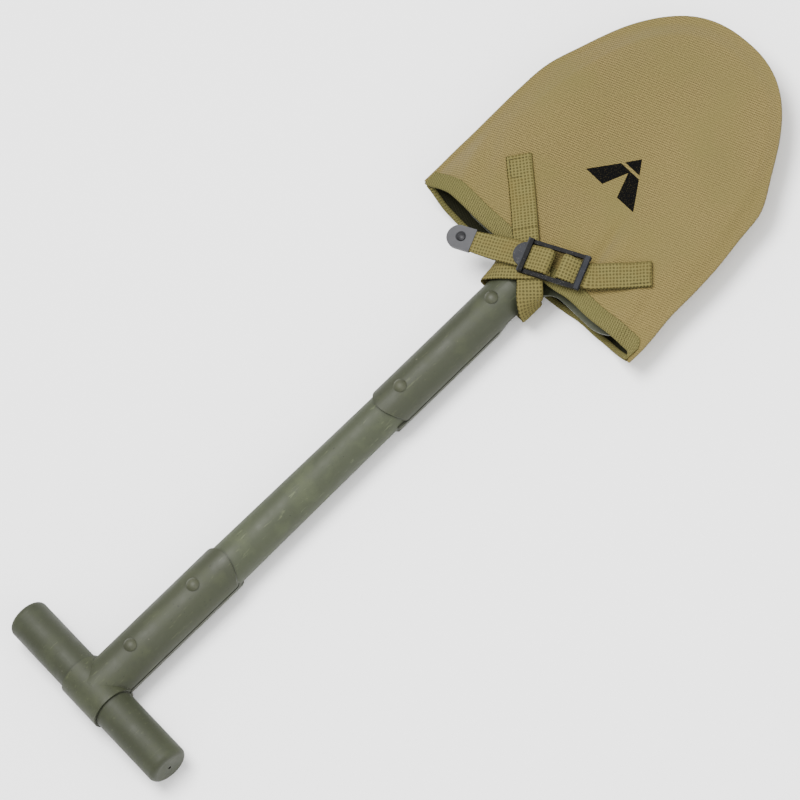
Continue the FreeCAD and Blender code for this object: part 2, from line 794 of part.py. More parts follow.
def make_strap_fold():
    """Webbing from the gap, over the locking bar and under the thumb arch."""
    mid = buckle_frame_height + buckle_rail / 2.0
    turn = buckle_bar + fit + web / 2.0
    points = [
        (locking_bar_at + turn + 0.3, mid - 1.1),
        (locking_bar_at + turn + 0.2, mid),
        (locking_bar_at + turn * 0.72, mid + turn * 0.72),
        (locking_bar_at, mid + turn),
        (locking_bar_at - 3.4, mid + turn * 0.8),
        (locking_bar_at - 8.0, mid + 0.8),
        (-buckle_half_length - 1.0, mid + 0.4),
        (-strap_flex_at + run / 2.0, mid + strap_end_lift),
    ]
    return in_buckle_plane(points, web_width / 2.0, web, 25)


def narrowing(start, side):
    """What is taken off one edge of the free end as it narrows toward the tip."""
    half = web_width / 2.0
    length = strap_end_length * (1.0 - strap_full_share)
    slope = (half - strap_narrow_half) / length
    spare = 3.0
    near = start - strap_end_length + length + spare
    end = start - strap_end_length - spare
    corners = [
        at_buckle(near, side * (half + slope * spare), 0.0),
        at_buckle(end, side * (strap_narrow_half - slope * spare), 0.0),
        at_buckle(end, side * (half + spare), 0.0),
    ]
    return Part.Face(Part.makePolygon(corners + corners[:1])).extrude(V(0, 0, sky))


def make_strap_end():
    mid = buckle_frame_height + buckle_rail / 2.0
    start = -strap_flex_at - run / 2.0
    points = [
        (start, mid + strap_end_lift),
        (start - strap_end_length * 0.3, mid - strap_end_drop * 0.45),
        (start - strap_end_length * 0.7, mid - strap_end_drop * 0.95),
        (start - strap_end_length, mid - strap_end_drop),
    ]
    shape = in_buckle_plane(points, web_width / 2.0, web, 13)
    for side in (1.0, -1.0):
        shape = shape.cut(narrowing(start, side))
    return one_solid(shape)


def make_strap_tip():
    """Folded sheet over the end of the webbing with a pressed dimple."""
    mid = buckle_frame_height + buckle_rail / 2.0 - strap_end_drop
    start = -strap_flex_at - run / 2.0 - strap_end_length
    half = strap_narrow_half + fit + strap_tip_sheet
    thick = web + 2.0 * (strap_tip_sheet + fit)
    body = strap_tip_length - half
    a = at_buckle(start + 4.0, half, mid - thick / 2.0)
    b = at_buckle(start + 4.0, -half, mid - thick / 2.0)
    c = at_buckle(start - body, -half, mid - thick / 2.0)
    d = at_buckle(start - body - half, 0, mid - thick / 2.0)
    e = at_buckle(start - body, half, mid - thick / 2.0)
    edges = [
        Part.makeLine(a, b),
        Part.makeLine(b, c),
        Part.Arc(c, d, e).toShape(),
        Part.makeLine(e, a),
    ]
    face = Part.Face(Part.Wire(Part.__sortEdges__(edges)))
    shape = face.extrude(V(0, 0, thick))
    slot = []
    taper = (web_width / 2.0 - strap_narrow_half) / (strap_end_length * (1.0 - strap_full_share))
    slot_half = strap_narrow_half + fit
    wide_half = slot_half + taper * 6.0
    low = mid - web / 2.0 - fit
    for along, across in ((6.0, wide_half), (6.0, -wide_half), (-fit, -slot_half), (-fit, slot_half)):
        slot.append(at_buckle(start + along, across, low))
    pocket = Part.Face(Part.makePolygon(slot + slot[:1])).extrude(V(0, 0, web + 2.0 * fit))
    shape = shape.cut(pocket)
    dimple = at_buckle(start - body * 0.6, 0, mid + thick / 2.0 + 2.2)
    shape = shape.cut(Part.makeSphere(3.4, dimple))
    return one_solid(shape)


def make_chape_loop():
    mid = buckle_frame_height + buckle_rail / 2.0
    turn = buckle_bar + fit + web / 2.0 + 0.05
    under = buckle_frame_height - fit - web / 2.0
    second = under - web - 0.3
    start = flex_at - run / 2.0
    points = [(start, under), (chape_bar_at + 11.0, under), (chape_bar_at + 8.5, under + 0.35)]
    points.append((chape_bar_at + 4.8, under + 2.15))
    for deg in range(65, 250, 30):
        points.append((chape_bar_at + turn * cos(radians(deg)), mid + turn * sin(radians(deg))))
    points.append((chape_bar_at + 3.2, second + 0.35))
    points.append((chape_bar_at + 8.0, second))
    points.append((start, second))
    return in_buckle_plane(points, web_width / 2.0, web, 61)


def make_chape():
    """Doubled webbing sewn to the front panel, from its fold line."""
    start = at_buckle(flex_at + run / 2.0, 0, 0)
    up = buckle_frame_height - fit - web - 0.15
    end_x = chape_end[0]
    end_y = chape_end[1]
    dx = shoulder_x + end_x - start.x
    dy = end_y - start.y
    across = V(-dy, dx, 0)
    stations = [(V(start.x, start.y, axis_z + up), buckle_across)]
    for k in (0.3, 0.5, 0.7, 0.85, 1.0):
        x = start.x - shoulder_x + dx * k
        y = start.y + dy * k
        point = on_front(x, y, fit + web + 0.75)
        if k < 0.4:
            point.z = (point.z + axis_z + up) / 2.0
        turned = buckle_across * (1.0 - k) + across.normalize() * k
        stations.append((point, turned if k < 0.6 else across))
    return ribbon(stations, 2.0 * web, web_width / 2.0)


# ---------------------------------------------------------------- belt hook
def hook_axis_z():
    under = back_outside(shoulder_x + hook_bar_at - 4.0, 0.0)
    return under - fit - web - run - hook_wire


def make_hook_tab():
    """Webbing folded round the wire and sewn to the back panel."""
    z = hook_axis_z()
    x_bar = shoulder_x + hook_bar_at
    outer = hook_wire + run + web
    upper = []
    for x in (tab_start, tab_return, hook_bar_at - 2.2 * outer):
        edge = back_outside(shoulder_x + x, tab_half_width)
        level = min(edge, back_outside(shoulder_x + x, 0.0)) - fit - tab_ease
        upper.append(V(shoulder_x + x, -tab_half_width, level))

    def on_ring(degrees):
        angle = radians(degrees)
        return V(x_bar + outer * cos(angle), -tab_half_width, z + outer * sin(angle))

    low_inner = upper[1] - V(0, 0, 2.0 * web)
    step = upper[1] - V(0, 0, web)
    low_start = upper[0] - V(0, 0, web)
    edges = [Part.makeLine(upper[0], upper[1]), Part.makeLine(upper[1], upper[2])]
    edges.append(Part.makeLine(upper[2], on_ring(110)))
    edges.append(Part.Arc(on_ring(110), on_ring(0), on_ring(-100)).toShape())
    edges.append(Part.makeLine(on_ring(-100), low_inner))
    edges.append(Part.makeLine(low_inner, step))
    edges.append(Part.makeLine(step, low_start))
    edges.append(Part.makeLine(low_start, upper[0]))
    face = Part.Face(Part.Wire(Part.__sortEdges__(edges)))
    shape = face.extrude(V(0, 2.0 * tab_half_width, 0))
    eye = Part.makeCylinder(hook_wire + run, 4.0 * tab_half_width,
                            V(x_bar, -2.0 * tab_half_width, z), V(0, 1, 0))
    return one_solid(shape.cut(eye))


def make_belt_hook():
    z = hook_axis_z()
    slope = radians(hook_slope)
    x0 = shoulder_x + hook_bar_at
    along = V(cos(slope), 0, sin(slope))
    away = V(sin(slope), 0, -cos(slope))
    bar = Part.makeCylinder(hook_wire, 2.0 * hook_half_span, V(x0, -hook_half_span, z), V(0, 1, 0))
    shape = bar
    for sign in (1.0, -1.0):
        root = V(x0, sign * hook_half_span, z)
        end = root.add(along * hook_arm)
        centre = end.add(away * hook_bend)
        back = end.add(away * (2.0 * hook_bend))
        tip = back.sub(along * hook_return)
        shape = shape.fuse(Part.makeCylinder(hook_wire, hook_arm, root, along))
        shape = shape.fuse(Part.makeCylinder(hook_wire, hook_return, back, along * -1.0))
        ring = Part.Face(Part.Wire(Part.makeCircle(hook_wire, end, along)))
        shape = shape.fuse(ring.revolve(centre, V(0, -1, 0), 180.0))
        shape = shape.fuse(Part.makeSphere(hook_wire, root))
        shape = shape.fuse(Part.makeSphere(hook_wire, tip))
    return one_solid(shape)


# ---------------------------------------------------------------- build
save("handle_shaft", make_shaft())
save("t_grip", make_grip())
save("grip_strap", make_grip_strap())
save("grip_strap_rivets", make_grip_rivets())
save("blade", make_blade())
save("back_socket_strap", make_back_strap())
save("socket_rivets", make_socket_rivets())
save("frog_rivets", make_frog_rivets())
save("cover_front_panel", make_cover_front())
save("cover_back_panel", make_cover_back())
save("front_mouth_hem", make_front_hem())
save("back_mouth_hem", make_back_hem())
save("strap_anchor", make_strap_anchor())
save("neck_strap", make_neck_strap())
save("buckle_frame", make_buckle())
save("strap_fold", make_strap_fold())
save("strap_end", make_strap_end())
save("strap_tip", make_strap_tip())
save("chape_loop", make_chape_loop())
save("buckle_chape", make_chape())
save("hook_tab", make_hook_tab())
save("belt_hook", make_belt_hook())
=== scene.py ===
import bpy
import math
from mathutils import Matrix, Vector, noise


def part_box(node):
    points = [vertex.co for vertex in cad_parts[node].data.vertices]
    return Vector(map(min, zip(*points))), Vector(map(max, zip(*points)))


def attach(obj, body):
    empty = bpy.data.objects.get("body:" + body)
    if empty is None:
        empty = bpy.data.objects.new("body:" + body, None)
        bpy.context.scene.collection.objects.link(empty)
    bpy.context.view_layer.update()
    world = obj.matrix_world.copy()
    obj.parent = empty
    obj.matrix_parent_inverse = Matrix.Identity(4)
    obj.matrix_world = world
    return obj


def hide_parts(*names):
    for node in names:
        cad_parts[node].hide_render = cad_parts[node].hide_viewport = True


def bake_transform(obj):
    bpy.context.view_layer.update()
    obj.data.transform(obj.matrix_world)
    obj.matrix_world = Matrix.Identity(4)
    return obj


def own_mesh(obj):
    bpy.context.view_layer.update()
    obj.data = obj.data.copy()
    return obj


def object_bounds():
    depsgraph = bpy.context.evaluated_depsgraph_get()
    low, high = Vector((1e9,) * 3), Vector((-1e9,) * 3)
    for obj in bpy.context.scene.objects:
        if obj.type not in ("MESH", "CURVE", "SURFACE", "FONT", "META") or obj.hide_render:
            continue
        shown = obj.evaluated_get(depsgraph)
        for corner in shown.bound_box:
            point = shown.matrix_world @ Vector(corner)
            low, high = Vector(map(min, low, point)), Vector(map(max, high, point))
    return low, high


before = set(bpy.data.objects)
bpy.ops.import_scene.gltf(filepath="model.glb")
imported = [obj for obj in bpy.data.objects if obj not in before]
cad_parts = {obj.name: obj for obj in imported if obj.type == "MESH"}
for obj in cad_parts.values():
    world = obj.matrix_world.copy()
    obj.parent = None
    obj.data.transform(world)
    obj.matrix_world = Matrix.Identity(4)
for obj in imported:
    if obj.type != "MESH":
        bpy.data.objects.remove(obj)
cad_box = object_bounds()
MM = 0.001

# ---------------------------------------------------------------- places, from the frame
front_lo, front_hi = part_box("cover_front_panel")
grip_lo, grip_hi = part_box("t_grip")
MOUTH_REACH = 2.0 * MM                       # cover mouth before the blade's shoulders
SHOULDER = front_lo.x + MOUTH_REACH
TIP = front_hi.x
HALF = front_hi.y
AXIS_Z = (grip_lo.z + grip_hi.z) / 2.0
CROWN = front_hi.z
STRAIGHT = 40.0 * MM
POWER_X = 2.2
POWER_Y = 2.4
WEB = 1.3 * MM
WEB_WIDTH = 16.0 * MM
LENGTH = TIP - SHOULDER


# ---------------------------------------------------------------- camera first
TURN = math.radians(25.0)                    # seen from a little to the right
LEAN = math.radians(3.5)                     # and from a little towards the grip
RISE = math.radians(43.99)                   # the handle climbs this steeply in view
DISTANCE = 3.0
VIEW_WIDTH = 0.4747                          # metres across the view at the object
TARGET = Vector((SHOULDER - 0.109, -0.0005, AXIS_Z))


def make_camera():
    data = bpy.data.cameras.new("camera")
    camera = bpy.data.objects.new("camera", data)
    bpy.context.scene.collection.objects.link(camera)
    bpy.context.scene.camera = camera
    data.dof.use_dof = False
    data.sensor_width = 36.0
    data.lens = data.sensor_width * DISTANCE / VIEW_WIDTH
    data.clip_start = 0.1
    data.clip_end = 50.0
    toward = Vector((-math.sin(LEAN), -math.sin(TURN) * math.cos(LEAN),
                     math.cos(TURN) * math.cos(LEAN)))
    along = (Vector((1, 0, 0)) - toward * toward.x).normalized()
    side = along.cross(toward)
    right = along * math.cos(RISE) + side * math.sin(RISE)
    up = toward.cross(right)
    camera.location = TARGET + toward * DISTANCE
    camera.rotation_euler = Matrix((right, up, toward)).transposed().to_euler()
    return right, up, toward


view_right, view_up, view_toward = make_camera()


# ---------------------------------------------------------------- small helpers
def smoothstep(a, b, x):
    t = min(max((x - a) / (b - a), 0.0), 1.0)
    return t * t * (3.0 - 2.0 * t)


def bell(x, width):
    return math.exp(-(x / width) ** 2)


def new_mesh(name, vertices, faces, body, material, uvs=None):
    """Mesh piece on a body, or on none when body is None."""
    mesh = bpy.data.meshes.new(name)
    mesh.from_pydata([tuple(v) for v in vertices], [], faces)
    if uvs is not None:
        layer = mesh.uv_layers.new(name="cloth")
        for loop in mesh.loops:
            layer.data[loop.index].uv = uvs[loop.vertex_index]
    mesh.validate()
    mesh.update()
    for polygon in mesh.polygons:
        polygon.use_smooth = True
    obj = bpy.data.objects.new(name, mesh)
    bpy.context.scene.collection.objects.link(obj)
    mesh.materials.append(material)
    if body is not None:
        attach(obj, body)
    return obj


def half_width(x, v):
    """Half width of the cloth on the side of v."""
    return left_half(x) if v > 0 else right_half(x)


# ---------------------------------------------------------------- materials
MIX_A = 6                                    # colour sockets of Blender's mix node
MIX_B = 7
MIX_RESULT = 2
RIB_PITCH = 1.45 * MM                        # of the cover's canvas
KNOT_ALONG = 4.0 * MM                        # two knots of the webbing
KNOT_ACROSS = 4.2 * MM
CREVICE = 2.2 * MM                           # reach of the painted shade in corners of the paint
BARE = (186, 178, 160)                       # where the paint is worn off
MARK_AT = 80.0 * MM + MOUTH_REACH            # along the front, from the mouth
MARK_ASIDE = 2.0 * MM                        # off the middle
MARK_SIZE = 27.0 * MM


class Tree:
    """Short way to build a procedural material."""

    def __init__(self, name):
        self.material = bpy.data.materials.new(name)
        self.material.use_nodes = True
        self.nodes = self.material.node_tree.nodes
        self.links = self.material.node_tree.links
        self.nodes.clear()
        self.out = self.nodes.new("ShaderNodeOutputMaterial")
        self.shader = self.nodes.new("ShaderNodeBsdfPrincipled")
        self.links.new(self.shader.outputs["BSDF"], self.out.inputs["Surface"])

    def put(self, socket, value):
        if isinstance(value, bpy.types.NodeSocket):
            self.links.new(value, socket)
        else:
            socket.default_value = value

    def set(self, name, value):
        self.put(self.shader.inputs[name], value)

    def math(self, operation, a, b=0.0):
        node = self.nodes.new("ShaderNodeMath")
        node.operation = operation
        self.put(node.inputs[0], a)
        self.put(node.inputs[1], b)
        return node.outputs[0]

    def place(self):
        return self.nodes.new("ShaderNodeTexCoord").outputs["Object"]

    def cloth_uv(self):
        node = self.nodes.new("ShaderNodeUVMap")
        node.uv_map = "cloth"
        return node.outputs["UV"]

    def split(self, vector):
        node = self.nodes.new("ShaderNodeSeparateXYZ")
        self.put(node.inputs[0], vector)
        return node.outputs[0], node.outputs[1], node.outputs[2]

    def scale(self, vector, factor):
        node = self.nodes.new("ShaderNodeVectorMath")
        node.operation = "MULTIPLY"
        self.put(node.inputs[0], vector)
        node.inputs[1].default_value = factor
        return node.outputs[0]

    def noise(self, vector, scale, detail=3.0, rough=0.5):
        node = self.nodes.new("ShaderNodeTexNoise")
        self.put(node.inputs["Vector"], vector)
        node.inputs["Scale"].default_value = scale
        node.inputs["Detail"].default_value = detail
        node.inputs["Roughness"].default_value = rough
        return node.outputs["Fac"]

    def ramp(self, fac, *stops):
        node = self.nodes.new("ShaderNodeValToRGB")
        self.put(node.inputs["Fac"], fac)
        band = node.color_ramp
        while len(band.elements) < len(stops):
            band.elements.new(0.5)
        for element, (position, colour) in zip(band.elements, stops):
            element.position = position
            element.color = colour
        return node.outputs["Color"]

    def mix(self, fac, a, b):
        node = self.nodes.new("ShaderNodeMix")
        node.data_type = "RGBA"
        self.put(node.inputs["Factor"], fac)
        self.put(node.inputs[MIX_A], a)
        self.put(node.inputs[MIX_B], b)
        return node.outputs[MIX_RESULT]

    def bump(self, height, distance, strength=1.0, normal=None):
        node = self.nodes.new("ShaderNodeBump")
        node.inputs["Strength"].default_value = strength
        node.inputs["Distance"].default_value = distance
        self.put(node.inputs["Height"], height)
        if normal is not None:
            self.put(node.inputs["Normal"], normal)
        return node.outputs["Normal"]


def linear(red, green, blue):
    """Colour for a shader from the usual 0-255 screen values."""
    out = []
    for value in (red, green, blue):
        c = value / 255.0
        out.append(c / 12.92 if c <= 0.04045 else ((c + 0.055) / 1.055) ** 2.4)
    return (out[0], out[1], out[2], 1.0)


def shade(tint, share):
    """The tint made lighter or darker."""
    return linear(*[min(c * share, 255.0) for c in tint])


def grey(value):
    return (value, value, value, 1.0)


def canvas_material(name, tint, with_mark):
    """Cotton duck: fine slanting ribs, blotches of washing and wear."""
    tree = Tree(name)
    uv = tree.cloth_uv()
    along, across, _ = tree.split(uv)
    wobble = tree.noise(uv, 120.0, 2.0)
    pitch = 2.0 * math.pi / RIB_PITCH
    rib = tree.math("ADD", tree.math("MULTIPLY", along, pitch * 0.942),
                    tree.math("MULTIPLY", across, pitch * 0.327))
    rib = tree.math("SINE", tree.math("ADD", rib, tree.math("MULTIPLY", wobble, 4.0)))
    knot = tree.math("ADD", tree.math("MULTIPLY", along, pitch * -0.35),
                     tree.math("MULTIPLY", across, pitch * 0.80))
    knot = tree.math("SINE", tree.math("ADD", knot, tree.math("MULTIPLY", wobble, 4.0)))
    grain = tree.math("SUBTRACT", tree.noise(uv, 1000.0, 2.0, 0.7), 0.5)
    weave = tree.math("ADD", tree.math("MULTIPLY", rib, 0.30),
                      tree.math("MULTIPLY", tree.math("MULTIPLY", rib, knot), 0.42))
    weave = tree.math("ADD", weave, tree.math("MULTIPLY", grain, 1.3))
    weave = tree.math("ADD", weave, 0.5)
    fleck = tree.noise(uv, 900.0, 2.0, 0.6)
    blotch = tree.noise(uv, 22.0, 4.0, 0.55)
    wash = tree.noise(uv, 7.0, 2.0, 0.5)
    dark = shade(tint, 0.60)
    light = shade(tint, 1.24)
    green = linear(tint[0] * 0.90, tint[1] * 0.955, tint[2] * 0.88)
    colour = tree.mix(weave, dark, light)
    colour = tree.mix(tree.ramp(fleck, (0.35, grey(0.0)), (0.75, grey(0.32))), colour, dark)
    colour = tree.mix(tree.ramp(blotch, (0.42, grey(0.0)), (0.72, grey(0.55))), colour, green)
    colour = tree.mix(tree.ramp(wash, (0.4, grey(0.0)), (0.8, grey(0.25))), colour, light)
    if with_mark:
        ink = mark_mask(tree, uv)
        colour = tree.mix(ink, colour, linear(5, 5, 6))
        tree.set("Sheen Weight", tree.math("MULTIPLY", tree.math("SUBTRACT", 1.0, ink), 0.10))
    tree.set("Base Color", colour)
    tree.set("Roughness", 0.95)
    tree.set("Sheen Roughness", 0.6)
    tree.set("Specular IOR Level", 0.05)
    fine = tree.bump(weave, 0.00022, 0.55)
    tree.set("Normal", tree.bump(blotch, 0.0008, 0.25, fine))
    return tree.material


def mark_mask(tree, uv):
    """Stencilled tent: a triangle with an open door and one bridge across it."""
    along, across, _ = tree.split(uv)
    x = tree.math("DIVIDE", tree.math("SUBTRACT", along, MARK_AT), MARK_SIZE)
    y = tree.math("DIVIDE", tree.math("ADD", across, MARK_ASIDE), MARK_SIZE)
    side = tree.math("ABSOLUTE", y)

    def less(a, b):
        return tree.math("LESS_THAN", a, b)

    def both(a, b):
        return tree.math("MULTIPLY", a, b)

    height = tree.math("ADD", x, 0.5)
    slant = tree.math("ADD", tree.math("MULTIPLY", height, 0.78), side)
    shape = both(less(slant, 0.78), less(tree.math("MULTIPLY", height, -1.0), 0.0))
    door = both(less(tree.math("ADD", tree.math("MULTIPLY", height, 0.42), side), 0.24),
                less(height, 0.56))
    bridge = less(tree.math("ABSOLUTE", tree.math("SUBTRACT", height, 0.66)), 0.035)
    ink = both(shape, tree.math("SUBTRACT", 1.0, door))
    ink = both(ink, tree.math("SUBTRACT", 1.0, bridge))
    wear = tree.noise(uv, 1400.0, 2.0, 0.6)
    wear = tree.ramp(wear, (0.30, grey(0.80)), (0.45, grey(1.0)))
    return both(ink, wear)


def webbing_material(name, tint):
    """Coarse cotton webbing: rows of knots with dark gaps."""
    tree = Tree(name)
    uv = tree.cloth_uv()
    along, across, _ = tree.split(uv)
    pitch_along = 2.0 * math.pi / KNOT_ALONG
    pitch_across = 2.0 * math.pi / KNOT_ACROSS
    wobble = tree.noise(uv, 300.0, 2.0)
    shift = tree.math("MULTIPLY", wobble, 1.6)
    a = tree.math("SINE", tree.math("ADD", tree.math("MULTIPLY", along, pitch_along), shift))
    b = tree.math("SINE", tree.math("ADD", tree.math("MULTIPLY", across, pitch_across), shift))
    knots = tree.math("MULTIPLY", a, b)
    gap = tree.ramp(tree.math("ABSOLUTE", knots), (0.42, grey(0.0)), (0.86, grey(1.0)))
    fleck = tree.noise(uv, 1300.0, 2.0, 0.6)
    blotch = tree.noise(uv, 60.0, 3.0, 0.5)
    light = shade(tint, 1.10)
    mid = shade(tint, 0.97)
    dark = shade(tint, 0.34)
    colour = tree.mix(fleck, mid, light)
    colour = tree.mix(tree.math("MULTIPLY", gap, 0.60), colour, dark)
    warm = linear(tint[0] * 1.0, tint[1] * 0.92, tint[2] * 0.84)
    colour = tree.mix(tree.ramp(blotch, (0.45, grey(0.0)), (0.75, grey(0.5))), colour, warm)
    tree.set("Base Color", colour)
    tree.set("Roughness", 0.95)
    tree.set("Specular IOR Level", 0.04)
    lift = tree.math("SUBTRACT", 1.0, gap)
    tree.set("Normal", tree.bump(lift, 0.0004, 0.9))
    return tree.material


def paint_material(name, tint, rough, grain, wear):
    """Olive drab paint with scuffs, dark specks, small bare spots and painted shade in its corners.
    """
    tree = Tree(name)
    place = tree.place()
    stretched = tree.scale(place, (0.16, 1.0, 1.0))
    broad = tree.noise(place, 14.0, 4.0, 0.6)
    cloudy = tree.noise(place, 60.0, 5.0, 0.6)
    streak = tree.noise(stretched, 520.0, 4.0, 0.65)
    speck = tree.noise(place, 700.0, 2.0, 0.6)
    base = linear(*tint)
    light = shade(tint, 1.30)
    dark = shade(tint, 0.72)
    colour = tree.mix(broad, dark, light)
    colour = tree.mix(0.5, colour, base)
    colour = tree.mix(tree.ramp(cloudy, (0.50, grey(0.0)), (0.70, grey(0.75))), colour, light)
    colour = tree.mix(tree.ramp(streak, (0.62, grey(0.0)), (0.70, grey(grain))), colour,
                      shade(tint, 1.7))
    colour = tree.mix(tree.ramp(speck, (0.70, grey(0.0)), (0.74, grey(0.75))), colour,
                      shade(tint, 0.45))
    worn = tree.noise(place, 240.0, 6.0, 0.7)
    colour = tree.mix(tree.ramp(worn, (0.70, grey(0.0)), (0.73, grey(wear))), colour,
                      linear(*BARE))
    # paint darkened in corners and crevices by ambient occlusion: painted shade
    crevice = tree.nodes.new("ShaderNodeAmbientOcclusion")
    crevice.samples = 4
    crevice.inputs["Distance"].default_value = CREVICE
    painted_crevice_shade = tree.ramp(crevice.outputs["AO"], (0.35, grey(0.8)), (0.9, grey(0.0)))
    colour = tree.mix(painted_crevice_shade, colour, shade(tint, 0.35))
    tree.set("Base Color", colour)
    dull = tree.ramp(cloudy, (0.3, grey(rough - 0.08)), (0.7, grey(rough + 0.12)))
    tree.set("Roughness", dull)
    tree.set("Specular IOR Level", 0.26)
    fine = tree.bump(streak, 0.00012, 0.5)
    tree.set("Normal", tree.bump(cloudy, 0.0006, 0.35, fine))
    return tree.material


def metal_material(name, tint, rough, metallic, spots):
    """Metal with cloudy spots and fine scratches."""
    tree = Tree(name)
    place = tree.place()
    cloudy = tree.noise(place, 130.0, 4.0, 0.6)
    scratch = tree.noise(tree.scale(place, (1.0, 0.22, 1.0)), 1500.0, 3.0, 0.6)
    base = linear(*tint)
    light = linear(*[min(c * 1.5 + 12.0, 255.0) for c in tint])
    colour = tree.mix(tree.ramp(cloudy, (0.45, grey(0.0)), (0.75, grey(spots))), base, light)
    colour = tree.mix(tree.ramp(scratch, (0.63, grey(0.0)), (0.70, grey(0.7))), colour, light)
    tree.set("Base Color", colour)
    tree.set("Metallic", metallic)
    tree.set("Roughness", tree.ramp(cloudy, (0.3, grey(rough)), (0.8, grey(rough + 0.22))))
    tree.set("Normal", tree.bump(scratch, 0.00008, 0.4))
    return tree.material


def thread_material(name, tint):
    """Twisted cotton thread."""
    tree = Tree(name)
    place = tree.place()
    twist = tree.noise(place, 2600.0, 2.0, 0.6)
    tree.set("Base Color", tree.mix(twist, shade(tint, 0.75), linear(*tint)))
    tree.set("Roughness", 0.85)
    tree.set("Specular IOR Level", 0.2)
    return tree.material


canvas = canvas_material("canvas_duck", (97, 85, 49), True)
# very dark copy of the canvas for the inside of the cover: painted shade
canvas_inside_painted_shade = canvas_material("canvas_inside_painted_shade", (30, 30, 20), False)
hem_cloth = canvas_material("canvas_hem", (85, 80, 48), False)
webbing = webbing_material("cotton_webbing", (91, 85, 50))
wood_paint = paint_material("olive_wood", (48, 52, 37), 0.58, 0.55, 0.12)
grip_paint = paint_material("olive_grip", (38, 41, 28), 0.58, 0.45, 0.40)
steel_paint = paint_material("olive_steel", (40, 43, 29), 0.54, 0.50, 0.22)
rivet_paint = paint_material("olive_rivet", (46, 48, 35), 0.50, 0.45, 0.9)
hook_steel = metal_material("hook_steel", (60, 58, 56), 0.4, 0.8, 0.5)


def zone(tree, centre, direction, low, high):
    """1 where the place along direction from centre lies between low and high."""
    offset = tree.nodes.new("ShaderNodeVectorMath")
    offset.operation = "SUBTRACT"
    tree.put(offset.inputs[0], tree.place())
    offset.inputs[1].default_value = centre
    along = tree.nodes.new("ShaderNodeVectorMath")
    along.operation = "DOT_PRODUCT"
    tree.put(along.inputs[0], offset.outputs[0])
    along.inputs[1].default_value = direction
    above = tree.math("GREATER_THAN", along.outputs["Value"], low)
    return tree.math("MULTIPLY", above, tree.math("LESS_THAN", along.outputs["Value"], high))


def buckle_material(name, centre, direction):
    """Blackened steel, with painted grey highlights on the thumb piece and on the far bar."""
    tree = Tree(name)
    place = tree.place()
    cloudy = tree.noise(place, 260.0, 4.0, 0.65)
    scratch = tree.noise(tree.scale(place, (1.0, 0.25, 1.0)), 2200.0, 3.0, 0.6)
    black = linear(3, 3, 4)
    colour = tree.mix(tree.ramp(cloudy, (0.5, grey(0.0)), (0.8, grey(0.7))), black,
                      linear(9, 9, 11))
    # painted highlight: the tilted thumb piece drawn in lighter grey
    thumb_highlight = zone(tree, centre, direction, -0.04, -0.0192)
    colour = tree.mix(tree.math("MULTIPLY", thumb_highlight, 0.85), colour, linear(38, 39, 42))
    # painted highlight: a grey glint on the far bar
    bar = zone(tree, centre, direction, 0.0172, 0.04)
    colour = tree.mix(tree.math("MULTIPLY", bar, 0.7), colour, linear(30, 32, 38))
    colour = tree.mix(tree.ramp(scratch, (0.64, grey(0.0)), (0.70, grey(0.6))), colour,
                      linear(92, 90, 86))
    tree.set("Base Color", colour)
    tree.set("Specular IOR Level", 0.10)
    tree.set("Roughness", tree.ramp(cloudy, (0.3, grey(0.45)), (0.8, grey(0.65))))
    tree.set("Normal", tree.bump(scratch, 0.00006, 0.4))
    return tree.material


def tip_material(name, centre, radius):
    """Dull grey sheet with a ring pressed round its middle, painted dark as its shade."""
    tree = Tree(name)
    place = tree.place()
    cloudy = tree.noise(place, 300.0, 4.0, 0.6)
    flat = tree.scale(place, (1.0, 1.0, 0.0))
    gap = tree.nodes.new("ShaderNodeVectorMath")
    gap.operation = "DISTANCE"
    tree.put(gap.inputs[0], flat)
    gap.inputs[1].default_value = (centre.x, centre.y, 0.0)
    away = gap.outputs["Value"]
    # the dimple's ring is painted darker: painted shade in the pressed hollow
    ring = tree.ramp(tree.math("DIVIDE", away, 2.0 * radius), (0.0, grey(0.45)), (0.30, grey(0.55)),
                     (0.42, grey(1.0)), (0.56, grey(0.0)))
    colour = tree.mix(cloudy, linear(36, 36, 38), linear(58, 58, 60))
    colour = tree.mix(ring, colour, linear(20, 20, 22))
    tree.set("Base Color", colour)
    tree.set("Metallic", 0.35)
    tree.set("Specular IOR Level", 0.3)
    tree.set("Roughness", tree.ramp(cloudy, (0.3, grey(0.42)), (0.8, grey(0.62))))
    tree.set("Normal", tree.bump(tree.math("SUBTRACT", 1.0, ring), 0.0006, 0.8))
    return tree.material


# thread tinted darker than the hem cloth: partly its own colour, partly painted shade of the
# stitched groove
thread = thread_material("khaki_thread_with_painted_shade", (66, 60, 32))


# the places of the buckle and of the tip's dimple, from the frame
BUCKLE_TURN = math.radians(24.8)
ALONG = Vector((math.sin(BUCKLE_TURN), -math.cos(BUCKLE_TURN), 0.0))
ACROSS = Vector((math.cos(BUCKLE_TURN), math.sin(BUCKLE_TURN), 0.0))
BUCKLE_X = SHOULDER + 10.7 * MM
BUCKLE_Y = -16.2 * MM
tip_lo, tip_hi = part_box("strap_tip")
tip_middle = (tip_lo + tip_hi) / 2.0 - ALONG * (1.3 * MM)
black_steel = buckle_material("black_steel", (BUCKLE_X, BUCKLE_Y, 0.0), ALONG)
tip_steel = tip_material("tip_steel", tip_middle, 2.9 * MM)


def paint_node(node, material):
    """Give a piece of the frame its own material."""
    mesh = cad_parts[node].data
    mesh.materials.clear()
    mesh.materials.append(material)


for node_name, node_material in (
    ("handle_shaft", wood_paint), ("t_grip", grip_paint), ("grip_strap", steel_paint),
    ("grip_strap_rivets", rivet_paint), ("blade", steel_paint),
    ("back_socket_strap", steel_paint), ("socket_rivets", rivet_paint),
    ("frog_rivets", rivet_paint), ("buckle_frame", black_steel),
    ("strap_tip", tip_steel), ("belt_hook", hook_steel),
):
    paint_node(node_name, node_material)


